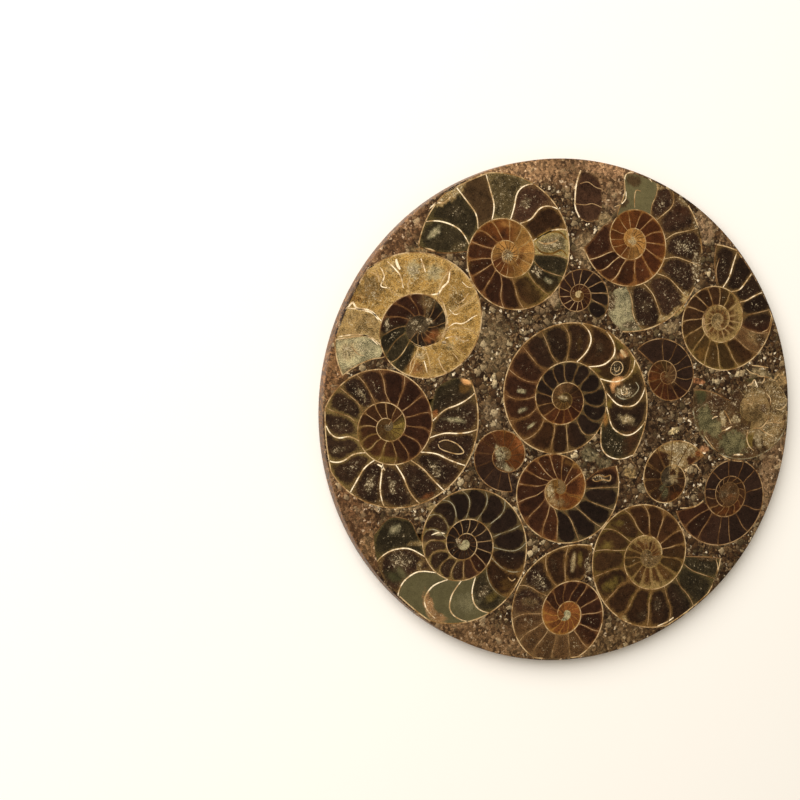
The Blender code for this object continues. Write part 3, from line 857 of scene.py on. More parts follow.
            Stroke(((43.6, -1.2), (45.6, 0.6), (47.2, 1.2)), 0.3, Tint.GREY),
            Stroke(((46.6, -8.6), (50.2, -13.0), (55.0, -16.0), (60.4, -16.8)), 0.35, Tint.SHELL),
        ),
    ),
    Shell(
        node="ammonite_east_low", slot="dark_calcite",
        coil=Coil(centre=(54.7, -26.4), mouth_radius=18.0, mouth_angle=-158, winding=Winding.COUNTER,
                  growth=2.60, tighten=-0.13, oval=0.045, oval_angle=64),
        lip=Lip((-9, -8, -7, -8, -9)),
        septa=((7, 4, 3), (27, -5, 3), (54, -4, 3), (71, 0, 2), (95, -3, 5), (127, -6, 6), (161, -6, 3),
               (192, -6, 3), (217, -5, 4), (250, 0, 0), (286, -4, 4), (323, -4, 4)),
        fills=stops((Look.OXBLOOD, 0), (Look.NIGHT, 60, 330), (Look.SEPIA, 370, 440), (Look.UMBER, 460),
                    (Look.SEPIA, 500), (Look.BROWN, 560, 720)),
        step=(26, 6, -4), depth=760, core=Look.LOAM, bright=0, wall_tint=Tint.TAN, septum_tint=Tint.DIM,
        inner_tint=Tint.DIM,
        patches=(
            Patch((55.2, -27.4), (1.8, 1.2), Look.RUST, 0, 0.4, 1.0),
            Patch((53.6, -26.4), (2.6, 1.4), Look.SMEAR, 0, 0.6, 0.8),
            Patch((54.0, -31.6), (4.4, 1.6), Look.AMBER, 0, 0.8, 1.0),
        ),
        strokes=(
            Stroke(((38.4, -30.4), (41.4, -30.4), (44.0, -29.8), (46.2, -28.4)), 0.5, Tint.SHELL),
        ),
    ),
    Shell(
        node="ammonite_south_east", slot="olive_calcite",
        coil=Coil(centre=(27.8, -44.6), mouth_radius=24.6, mouth_angle=-5, winding=Winding.CLOCKWISE,
                  growth=1.68, tighten=0.32, oval=0.010, oval_angle=90),
        lip=Septum(-2, 0, 1),
        septa=((14, -6, 0), (37, -6, 4), (58.5, -4, 8), (83.5, -8, 2), (107, -7, 6), (132, -8, 0),
               (157.5, -6, 0), (185, 5, -4), (212, 0, -8), (242, 12, -7), (267, 4, -8), (291, 6, -6),
               (317, -2, 5), (338, -6, 3), (361, -1, 5), (387, 0, 0), (411, -4, 2), (436, -4, -3),
               (459, -4, 0), (481, -6, 4), (508, -8, 7), (532, -11, 0), (554, -3, 3)),
        fills=stops((Look.MOSS, 0, 30), (Look.BLACK, 50), (Look.BROWN, 84, 150), (Look.GILT, 165, 235),
                    (Look.SEPIA, 250, 330), (Look.OLIVE, 380), (Look.RIB, 430), (Look.OLIVE, 520),
                    (Look.RIB, 600, 1100)),
        step=(24, 0, 0), depth=715, core=Look.DIRT, bright=0, wall_tint=Tint.SHELL, septum_tint=Tint.TAN,
        inner_tint=Tint.DIM,
        patches=(
            Patch((18.2, -34.4), (2.0, 1.1), Look.LIME, -10, 0.7, 1.0),
            Patch((14.2, -40.8), (2.4, 1.3), Look.LIME, 0, 0.8, 1.0),
            Patch((15.6, -52.8), (3.8, 2.0), Look.LIME, 32, 0.9, 1.0),
            Patch((22.6, -57.6), (0.8, 2.2), Look.LIME, -24, 0.6, 1.0),
            Patch((28.4, -57.4), (0.7, 2.6), Look.LIME, -6, 0.6, 1.0),
            Patch((20.2, -63.4), (1.0, 1.2), Look.SAND, 0, 0.7, 0.8),
            Patch((26.0, -62.6), (2.0, 1.8), Look.SMEAR, 0, 0.4, 1.0),
            Patch((30.8, -59.6), (1.4, 2.4), Look.SMEAR, 0, 0.5, 1.0),
            Patch((47.8, -46.0), (3.4, 1.2), Look.GRAVEL, 0, 0.7),
        ),
        strokes=(
            Stroke(((50.6, -46.6), (51.2, -49.0), (50.4, -52.4), (49.4, -54.6)), 0.3, Tint.SHELL),
            Stroke(((31.0, -66.2), (34.0, -65.2), (36.4, -63.8)), 0.4),
        ),
    ),
    Shell(
        node="ammonite_south", slot="brown_calcite",
        coil=Coil(centre=(1.0, -61.1), mouth_radius=21.4, mouth_angle=67, winding=Winding.COUNTER,
                  growth=1.87, tighten=0.18, oval=0.038, oval_angle=44),
        lip=Lip((-3, -5, -3, -1, 2)),
        septa=((27, 0, -4), (50, -6, -6), (75, -5, 6), (108, 0, 6), (133, -6, 6), (156, -5, 6),
               (182, -4, 4), (211, 0, 0), (234, -4, 4), (260, -6, 4), (289, -4, 4), (313, -4, 2),
               (341, -4, 4)),
        fills=stops((Look.BROWN, 0, 50), (Look.DRUSY, 60, 75), (Look.PURPLE, 90), (Look.LOAM, 125, 225),
                    (Look.GARNET, 245), (Look.OXBLOOD, 262, 400), (Look.GARNET, 440),
                    (Look.EMBER, 470, 900)),
        step=(26, 6, -5), depth=880, core=Look.CLAY, bright=0, wall_tint=Tint.SHELL, septum_tint=Tint.TAN,
        inner_tint=Tint.DIM, lined=470.0,
        patches=(
            Patch((3.2, -45.6), (0.8, 3.2), Look.CHALK, -6, 0.8, 0.7),
            Patch((5.4, -44.8), (0.9, 2.6), Look.LIME, 0, 0.8, 0.8),
            Patch((8.6, -47.0), (1.6, 4.0), Look.GRAVEL, -10, 0.8),
            Patch((-8.4, -51.4), (2.4, 1.6), Look.SMEAR, -30, 0.5, 1.0),
            Patch((-10.6, -57.0), (3.2, 1.8), Look.TAN, -8, 0.5, 1.0),
            Patch((-3.2, -45.6), (0.8, 2.2), Look.SMEAR, 15, 0.3, 1.0),
        ),
    ),
    Shell(
        node="ammonite_south_west", slot="mud_filled_calcite",
        coil=Coil(centre=(-31.4, -38.8), mouth_radius=28.9, mouth_angle=164, winding=Winding.COUNTER,
                  growth=2.04, tighten=0.05, oval=0.007, oval_angle=42),
        lip=Lip((11, -6, -7, -3.5, 8), Tint.DIM, 0.2),
        septa=((17.5, 14, 7), (43, 16, 8), (66, 14, 17), (91, 10, 18), (115, 11, 12), (139, 10, 6),
               (163, 5, 8), (185, 2, 10), (209, -3, 3), (231, 0, 10), (255, 2, 10), (279, 6, 12),
               (303, 8, 12), (327, 8, 12), (350, 8, 12), (367, -4, 14), (388, 9, 14), (414, 2, 14),
               (438, 3, 8), (463, -1, 2), (488, -2, 6), (512, 1, -2), (535, 0, 0), (560, 1, 0)),
        fills=stops((Look.MOSS, 0, 17), (Look.DRUSY, 18, 42), (Look.MUD, 44, 114), (Look.MOSS, 116, 138),
                    (Look.BROWN, 140, 163), (Look.RAVEN, 180, 300), (Look.WEB, 350, 440),
                    (Look.OXBLOOD, 500), (Look.RAVEN, 540), (Look.WEB, 1200)),
        step=(24, 4, 4), depth=1080, core=Look.CLAY, bright=117, wall_tint=Tint.SHELL,
        septum_tint=Tint.GREY, inner_tint=Tint.TAN, wave=0.0, bare=((-10, 52),),
        patches=(
            Patch((-33.4, -38.4), (1.3, 1.7), Look.SMEAR, 0, 0.9, 0.7),
            Patch((-51.4, -46.6), (3.0, 1.4), Look.MUD, -42, 0.9, 0.9),
            Patch((-42.8, -56.4), (1.4, 3.8), Look.BLUSH, 14, 1.0, 0.4),
            Patch((-40.0, -60.2), (3.2, 1.5), Look.BLUSH, -26, 0.9, 0.6),
            Patch((-31.0, -56.6), (4.6, 3.6), Look.CLAY, 0, 0.35, 1.0),
            Patch((-53.2, -33.8), (2.0, 1.6), Look.CLAY, 30, 0.7, 1.0),
            Patch((-25.4, -53.4), (3.0, 2.0), Look.SMEAR, 30, 0.7, 1.0),
            Patch((-51.4, -42.6), (5.0, 2.4), Look.SMEAR, -8, 0.7, 1.0),
            Patch((-53.4, -47.6), (3.6, 1.9), Look.FERN, -26, 1.0, 0.9),
            Patch((-46.4, -38.2), (3.4, 0.9), Look.SAND, 0, 0.7, 0.9),
            Patch((-45.4, -44.6), (1.0, 2.2), Look.SAND, -20, 0.7, 0.9),
            Patch((-39.4, -35.4), (2.0, 0.7), Look.CLAY, 0, 0.6, 0.8),
            Patch((-18.2, -51.2), (2.6, 2.2), Look.HONEY, 40, 0.7, 1.0),
            Patch((-22.8, -55.0), (2.8, 1.5), Look.LIME, 30, 0.5, 1.0),
        ),
        strokes=(
            Stroke(((-17.8, -49.2), (-16.6, -50.4), (-15.4, -49.8)), 0.4, Tint.SHELL),
            Stroke(((-41.8, -35.8), (-39.6, -35.2), (-37.6, -35.6)), 0.35),
        ),
    ),
    Shell(
        node="ammonite_centre", slot="dark_calcite",
        coil=Coil(centre=(0.2, 3.4), mouth_radius=28.9, mouth_angle=-45, winding=Winding.COUNTER,
                  growth=1.85, tighten=0.09, oval=0.010, oval_angle=30),
        lip=Lip((9.5, 1, -4.6, -6.3, -6.1, -4.4, -1.8, 2, 7), Tint.CREAM, 0.3),
        septa=((14.2, 21, 16), (37.2, 18, 15), (61, 12, 11), (83.2, 14, 19), (108.5, 8, 14), (130, 3, 8),
               (153.5, -8, 2), (175, -6, 0), (200, -7, -3), (224, -6, -6), (247, -8, -3), (273, -7, -6),
               (298, -6, 2), (320, 0, 0), (345, 2, 14), (368, 4, 12), (391, 7, 13), (417, 5, 9),
               (446, -4, 5), (471, -5, 0), (496, -9, 1), (520, -2, -4), (547, 4, -6), (571, 5, -2),
               (597, 4, 0), (624, 2, -4), (650, 0, -4), (675, 0, -4), (697, -1, 2), (724, -2, 3)),
        fills=stops((Look.MOSS, 0, 14), (Look.BLACK, 16, 38), (Look.UMBRA, 42), (Look.OLIVE, 62),
                    (Look.BROWN, 84, 88), (Look.BLACK, 150), (Look.OXBLOOD, 200), (Look.SEPIA, 290),
                    (Look.RAVEN, 350, 560), (Look.SEPIA, 610), (Look.UMBER, 650, 700), (Look.OXBLOOD, 745),
                    (Look.BROWN, 800), (Look.LOAM, 860), (Look.HONEY, 1100)),
        step=(24, 0, 0), depth=1080, core=Look.OLIVE, bright=112, wall_tint=Tint.SHELL,
        septum_tint=Tint.TAN, inner_tint=Tint.DIM, wave=0.0,
        patches=(
            Patch((-13.6, 6.0), (1.6, 0.8), Look.CLAY, -8, 0.8, 0.8),
            Patch((-13.4, 0.3), (1.8, 0.7), Look.CLAY, 18, 0.8, 0.8),
            Patch((-10.6, -4.4), (1.5, 0.5), Look.CLAY, 38, 0.9, 0.6),
            Patch((-0.3, 3.8), (1.6, 0.8), Look.CHALK, -10, 0.8, 0.8),
            Patch((-12.4, 18.2), (2.4, 2.2), Look.OXBLOOD, 0, 0.6, 1.0),
            Patch((20.4, -3.0), (3.2, 1.5), Look.CHALK, -16, 0.9, 1.0),
            Patch((22.2, -10.0), (3.0, 6.0), Look.GARNET, -20, 0.6, 1.0),
            Patch((20.0, 5.4), (3.8, 2.4), Look.SMEAR, 14, 1.0, 0.8),
            Patch((19.0, 5.6), (2.2, 1.3), Look.CHALK, 14, 0.9, 0.8),
            Patch((22.6, 6.8), (1.4, 0.9), Look.BLACK, 20, 0.8, 0.8),
            Patch((17.2, 8.4), (2.3, 1.6), Look.APRICOT, 24, 1.0, 0.7),
            Patch((15.8, 6.6), (0.8, 1.8), Look.APRICOT, 14, 0.8, 0.8),
            Patch((17.2, 12.3), (2.6, 2.4), Look.SPECK, 40, 0.9, 0.8),
            Patch((19.2, 16.6), (1.9, 1.2), Look.APRICOT, 30, 0.8, 0.8),
            Patch((16.8, 15.8), (1.2, 0.9), Look.TAN, 0, 0.9, 0.8),
            Patch((23.4, 11.0), (1.5, 3.0), Look.OLIVE, 0, 0.8, 0.8),
            Patch((18.2, 19.2), (2.2, 1.6), Look.LIME, -40, 0.7, 0.8),
            Patch((13.8, -3.2), (0.8, 2.4), Look.TOPAZ, -6, 1.0, 0.9),
            Patch((13.3, -2.4), (0.5, 1.8), Look.RUST, -10, 0.8, 0.8),
            Patch((14.8, 1.8), (1.1, 1.4), Look.LIME, -20, 0.9, 0.8),
            Patch((10.4, 12.2), (1.8, 0.7), Look.LIME, -24, 0.7, 1.0),
            Patch((5.0, 20.0), (1.0, 2.6), Look.OLIVE, -14, 0.8, 1.0),
            Patch((11.6, 18.4), (1.4, 2.2), Look.SMEAR, 0, 0.4, 1.0),
            Patch((-5.6, 21.0), (1.6, 2.0), Look.SMEAR, 0, 0.3, 1.0),
        ),
        strokes=(
            Stroke(((18.4, 18.0), (19.2, 17.0), (20.2, 15.8)), 1.1, Tint.SHELL),
            Stroke(((17.4, 6.6), (17.2, 4.6), (18.8, 3.3), (21.2, 3.4), (23.4, 4.8), (24.4, 6.6),
                    (23.4, 8.2)), 0.4, Tint.GREY),
            Stroke(((18.6, 6.2), (19.0, 4.6), (20.6, 4.8), (20.2, 6.6)), 0.3),
            Stroke(((15.4, 13.0), (15.2, 11.4), (16.6, 10.4), (18.4, 11.0), (19.2, 12.6), (18.4, 14.2),
                    (16.6, 14.4), (15.4, 13.2)), 0.3, Tint.SHELL),
            Stroke(((16.4, 12.8), (16.6, 11.6), (17.8, 11.8), (18.0, 13.0)), 0.25, Tint.SHELL),
            Stroke(((18.4, 9.4), (20.4, 10.4), (21.4, 12.6), (21.6, 15.0)), 0.3, Tint.TAN),
        ),
    ),
    Shell(
        node="ammonite_centre_south", slot="amber_calcite",
        coil=Coil(centre=(-1.4, -23.6), mouth_radius=19.6, mouth_angle=18, winding=Winding.CLOCKWISE,
                  growth=1.73, tighten=0.48, oval=0.029, oval_angle=151),
        lip=Lip((0, -4.6, -6.3, -5, -3.4), Tint.DIM, 0.2),
        septa=((16, 1, 0), (39, -2, -1), (62, 3, -3), (87, 12, 0), (112, 13, 0), (134, 8, -5), (159, 8, -3),
               (184, 16, -3), (206, 16, 0), (228, 12, 0), (250, 10, 0), (273, 8, 0), (296, 8, 0),
               (320, 8, 0), (343, 8, 0)),
        fills=stops((Look.OXBLOOD, 0), (Look.RAVEN, 17, 110), (Look.GARNET, 114), (Look.OXBLOOD, 160, 180),
                    (Look.GARNET, 250, 330), (Look.UMBER, 370), (Look.AMBER, 420, 500), (Look.TOPAZ, 560)),
        step=(60, 0, 0), depth=640, core=Look.DIRT, bright=0, wall_tint=Tint.SHELL, septum_tint=Tint.TAN,
        patches=(
            Patch((-6.0, -35.4), (2.6, 1.8), Look.OXBLOOD, 0, 0.7, 1.0),
            Patch((-12.0, -29.0), (2.0, 2.4), Look.GARNET, 0, 0.8, 1.0),
            Patch((3.6, -16.4), (5.0, 1.2), Look.TOPAZ, -22, 0.6, 1.0),
            Patch((5.4, -22.0), (1.2, 5.6), Look.RUST, 0, 0.5, 1.0),
            Patch((12.4, -20.6), (3.4, 1.2), Look.SMEAR, -6, 0.9, 0.8),
            Patch((-2.0, -27.6), (3.6, 1.6), Look.TAN, 0, 0.7, 1.0),
            Patch((-4.2, -24.4), (1.6, 3.2), Look.CHALK, 10, 0.8, 0.8),
        ),
        strokes=(
            Stroke(((9.4, -20.3), (11.4, -19.6), (13.4, -20.2), (15.2, -19.8), (15.0, -21.4), (12.8, -21.0),
                    (10.6, -21.5), (9.2, -20.8)), 0.4, Tint.SHELL),
        ),
    ),
    Shell(
        node="ammonite_small_west", slot="amber_calcite",
        coil=Coil(centre=(-18.9, -13.1), mouth_radius=11.1, mouth_angle=-79, winding=Winding.CLOCKWISE,
                  growth=1.73, tighten=0.43, oval=0.032, oval_angle=160),
        lip=Septum(0),
        septa=evenly(24, 28, 12, 0, 0),
        fills=stops((Look.NIGHT, 0, 60), (Look.GARNET, 160), (Look.AMBER, 200, 330), (Look.GARNET, 420),
                    (Look.UMBER, 480)),
        step=(60, 0, 0), depth=520, core=Look.DIRT, bright=0, wall_tint=Tint.TAN, septum_tint=Tint.BROWN,
        inner_tint=Tint.BROWN,
        patches=(
            Patch((-14.0, -9.4), (1.6, 4.2), Look.RUST, 24, 0.8, 0.8),
            Patch((-20.4, -12.4), (1.6, 2.6), Look.CLAY, 20, 0.9, 0.7),
            Patch((-18.6, -16.6), (3.0, 1.1), Look.CLAY, -28, 0.8, 0.7),
            Patch((-20.2, -15.4), (1.6, 1.8), Look.SMEAR, 0, 0.6),
        ),
    ),
    Shell(
        node="ammonite_small_north", slot="brown_calcite",
        coil=Coil(centre=(4.6, 34.5), mouth_radius=10.7, mouth_angle=-47, winding=Winding.COUNTER,
                  growth=2.42, tighten=0.0, oval=0.013, oval_angle=174),
        lip=Lip((-8, -10, -9, -4, 8)),
        septa=evenly(26, 26, 13, 4, -3),
        fills=stops((Look.RAVEN, 0, 60), (Look.NIGHT, 140), (Look.OXBLOOD, 300), (Look.GARNET, 420, 560),
                    (Look.HONEY, 640, 900)),
        step=(26, 3, 0), depth=800, core=Look.CHALK, bright=0, wall_tint=Tint.TAN, septum_tint=Tint.TAN,
    ),
    Shell(
        node="ammonite_small_east", slot="brown_calcite",
        coil=Coil(centre=(33.4, 10.0), mouth_radius=12.1, mouth_angle=140, winding=Winding.CLOCKWISE,
                  growth=1.89, tighten=0.32, oval=0.033, oval_angle=130),
        lip=Septum(0),
        septa=((43, -2, 5), (71, -10, 2), (98, -10, 1), (118, 2, 3), (149, -3, -8), (175, -2, -2),
               (200, -3, 0), (225, -6, 0), (246, 8, -1), (270, 0, 1), (297, -8, 6), (337, 0, -4)),
        fills=stops((Look.NIGHT, 0, 150), (Look.OXBLOOD, 190), (Look.UMBER, 240, 300), (Look.GARNET, 350),
                    (Look.OLIVE, 410), (Look.OXBLOOD, 460, 560), (Look.UMBER, 600), (Look.AMBER, 690),
                    (Look.OLIVE, 760)),
        step=(27, 3, 0), depth=760, core=Look.DIRT, bright=0, wall_tint=Tint.TAN, septum_tint=Tint.FAINT,
        inner_tint=Tint.FAINT,
        patches=(
            Patch((35.3, 10.0), (1.7, 3.8), Look.LOAM, 0, 0.9, 0.6),
            Patch((30.3, 9.4), (2.4, 4.2), Look.AMBER, 0, 0.6, 0.8),
        ),
    ),
    Shell(
        node="ammonite_small_broken", slot="dark_calcite",
        coil=Coil(centre=(34.9, -21.4), mouth_radius=12.9, mouth_angle=28, winding=Winding.COUNTER,
                  growth=2.30, tighten=0.17, oval=0.045, oval_angle=60),
        lip=Septum(0),
        septa=evenly(30, 30, 11, 0, 0),
        fills=stops((Look.BROWN, 0, 560)),
        step=(60, 0, 0), depth=420, core=Look.SPECK, bright=0, wall_tint=Tint.SHELL, septum_tint=Tint.BROWN,
        inner_tint=Tint.BROWN,
        patches=(
            Patch((38.0, -12.4), (6.6, 2.2), Look.SAND, -8, 1.0, 0.5),
            Patch((42.0, -13.0), (3.4, 1.6), Look.SAND, -24, 1.0, 0.5),
            Patch((39.4, -15.8), (2.8, 3.0), Look.TAN, 0, 1.0, 0.6),
            Patch((37.0, -16.0), (2.4, 3.4), Look.SAND, 0, 1.0, 0.5),
            Patch((37.6, -12.0), (3.4, 1.3), Look.CHALK, 0, 0.9, 0.6),
            Patch((38.2, -16.6), (1.0, 1.6), Look.CHALK, 0, 0.8, 0.6),
            Patch((42.0, -16.0), (1.7, 1.7), Look.GARNET, 0, 1.0, 0.6),
            Patch((32.0, -14.0), (1.8, 2.0), Look.GARNET, 0, 0.6, 1.0),
            Patch((44.6, -13.9), (1.5, 1.1), Look.RUST, -10, 1.0, 0.7),
            Patch((33.0, -25.0), (1.5, 2.4), Look.CELADON, 10, 0.9, 0.7),
            Patch((37.0, -26.4), (2.6, 1.6), Look.AMBER, 20, 0.8, 0.8),
            Patch((36.0, -21.6), (1.7, 1.5), Look.CHALK, 0, 0.45, 0.6),
        ),
        strokes=(
            Stroke(((40.2, -19.6), (41.2, -17.6), (43.6, -17.4), (45.0, -19.4)), 0.3, Tint.SHELL),
        ),
    ),
)

FRAGMENT_OUTLINE: tuple[Point, ...] = (
    (5.4, 71.2), (3.8, 66.5), (3.2, 61.5), (4.6, 57.4), (7.4, 56.2), (10.8, 57.0),
    (12.2, 60.0), (12.0, 66.0), (10.8, 69.4), (8.0, 70.9))


# --- mesh helpers ----------------------------------------------------------------------------------
def metres(place: Point, height: float) -> Vector:
    """Vector in metres of a plate point and a height in mm."""
    return Vector((place[0] * MM, place[1] * MM, height * MM))


def link_piece(name: str, bm: bmesh.types.BMesh, material: bpy.types.Material,
               smooth: bool = False) -> bpy.types.Object:
    """Write a bmesh to a new piece that rides on the plate.

    Args:
        name: the piece's name.
        bm: its mesh, in metres. It is freed.
        material: its material.
        smooth: whether its faces are shaded smooth.

    Returns:
        The new object.
    """
    bmesh.ops.recalc_face_normals(bm, faces=bm.faces)
    mesh = bpy.data.meshes.new(name)
    bm.to_mesh(mesh)
    bm.free()
    if smooth:
        mesh.shade_smooth()
        mesh.set_sharp_from_angle(angle=radians(SMOOTH_BELOW))
    mesh.materials.append(material)
    piece = bpy.data.objects.new(name, mesh)
    bpy.context.scene.collection.objects.link(piece)
    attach(piece, ROOT)
    return piece


def thicken(bm: bmesh.types.BMesh, faces: list[bmesh.types.BMFace], depth: float) -> None:
    """Give open faces a body below them, so that they become a closed slab.

    Args:
        bm: their mesh.
        faces: the faces.
        depth: thickness of the slab, in mm.
    """
    grown = bmesh.ops.extrude_face_region(bm, geom=faces)
    verts = [g for g in grown["geom"] if isinstance(g, bmesh.types.BMVert)]
    bmesh.ops.translate(bm, vec=(0.0, 0.0, -depth * MM), verts=verts)


def signed_area(points: Sequence[Point]) -> float:
    """Area of a closed outline, positive where it runs counterclockwise."""
    pairs = zip(points, list(points[1:]) + [points[0]])
    return 0.5 * sum(a[0] * b[1] - b[0] * a[1] for a, b in pairs)


def counterclockwise(points: Iterable[Point]) -> list[Point]:
    """The same outline, running counterclockwise."""
    points = list(points)
    return points if signed_area(points) > 0.0 else points[::-1]


def inset(points: Sequence[Point], distance: float) -> list[Point]:
    """Move a counterclockwise outline inwards.

    Args:
        points: the outline.
        distance: how far, in mm; less than 0 moves it outwards.

    Returns:
        The moved outline, with a mitre at each corner.
    """
    moved = []
    for i, (x, y) in enumerate(points):
        (ax, ay), (bx, by) = points[i - 1], points[(i + 1) % len(points)]
        n1, n2 = hypot(x - ax, y - ay), hypot(bx - x, by - y)
        normal = (-((y - ay) / n1 + (by - y) / n2), (x - ax) / n1 + (bx - x) / n2)
        length = max(hypot(*normal), TINY)
        turn = max(length / 2.0, MITRE_LIMIT)
        moved.append((x + normal[0] / length * distance / turn,
                      y + normal[1] / length * distance / turn))
    return moved


def line_mesh() -> bmesh.types.BMesh:
    """Empty mesh for lines of shell.

    Returns:
        A mesh with the attribute tone.
    """
    bm = bmesh.new()
    bm.verts.layers.float_color.new("tone")
    return bm


def filling_mesh() -> bmesh.types.BMesh:
    """Empty mesh for fillings.

    Returns:
        A mesh with the attributes tone, lining and marks.
    """
    bm = line_mesh()
    bm.verts.layers.float_color.new("lining")
    bm.verts.layers.float_vector.new("marks")
    return bm


def mark(bm: bmesh.types.BMesh, vert: bmesh.types.BMVert, look: Filling, shade: float,
         marks: tuple[float, float, float]) -> None:
    """Write what the calcite reads at one vertex.

    Args:
        bm: the mesh.
        vert: its vertex.
        look: the filling there.
        shade: brightness of the filling's tone.
        marks: place in the lining, 1 at its end; share of crystals; share of veins.
    """
    layers = bm.verts.layers
    vert[layers.float_color["tone"]] = (*(c * shade for c in look.tone), look.cloud)
    vert[layers.float_color["lining"]] = (*look.lining, 1.0)
    vert[layers.float_vector["marks"]] = marks


def ribbon(bm: bmesh.types.BMesh, line: Sequence[Point], widths: Sequence[float],
           tint: Colour) -> None:
    """Add a strip of shell along a line; a line of under three points is left out.

    Args:
        bm: mesh that it is added to.
        line: points of its middle.
        widths: its width at each point, in mm.
        tint: its colour.
    """
    count = len(line)
    if count < 3:
        return
    made = bmesh.ops.create_grid(bm, x_segments=count - 1, y_segments=1, size=1.0)
    tone = bm.verts.layers.float_color["tone"]
    for vert in made["verts"]:
        i = round(0.5 * (vert.co.x + 1.0) * (count - 1))
        side = 0.5 if vert.co.y > 0.0 else -0.5
        (ax, ay), (bx, by) = line[max(i - 1, 0)], line[min(i + 1, count - 1)]
        reach = max(hypot(bx - ax, by - ay), TINY)
        place = (line[i][0] - (by - ay) / reach * side * widths[i],
                 line[i][1] + (bx - ax) / reach * side * widths[i])
        stretch = min(1.0, (DISC_RADIUS - RIM_EASE) / max(hypot(*place), 1.0))
        vert.co = metres((place[0] * stretch, place[1] * stretch), SHELL_TOP)
        vert[tone] = (*tint, 1.0)
    faces = {f for vert in made["verts"] for f in vert.link_faces}
    thicken(bm, list(faces), SHELL_DEPTH)


# --- materials -------------------------------------------------------------------------------------
Value = Union[float, Sequence[float], Socket]
Span = tuple[float, float, float, float]      # from low and high to start and end


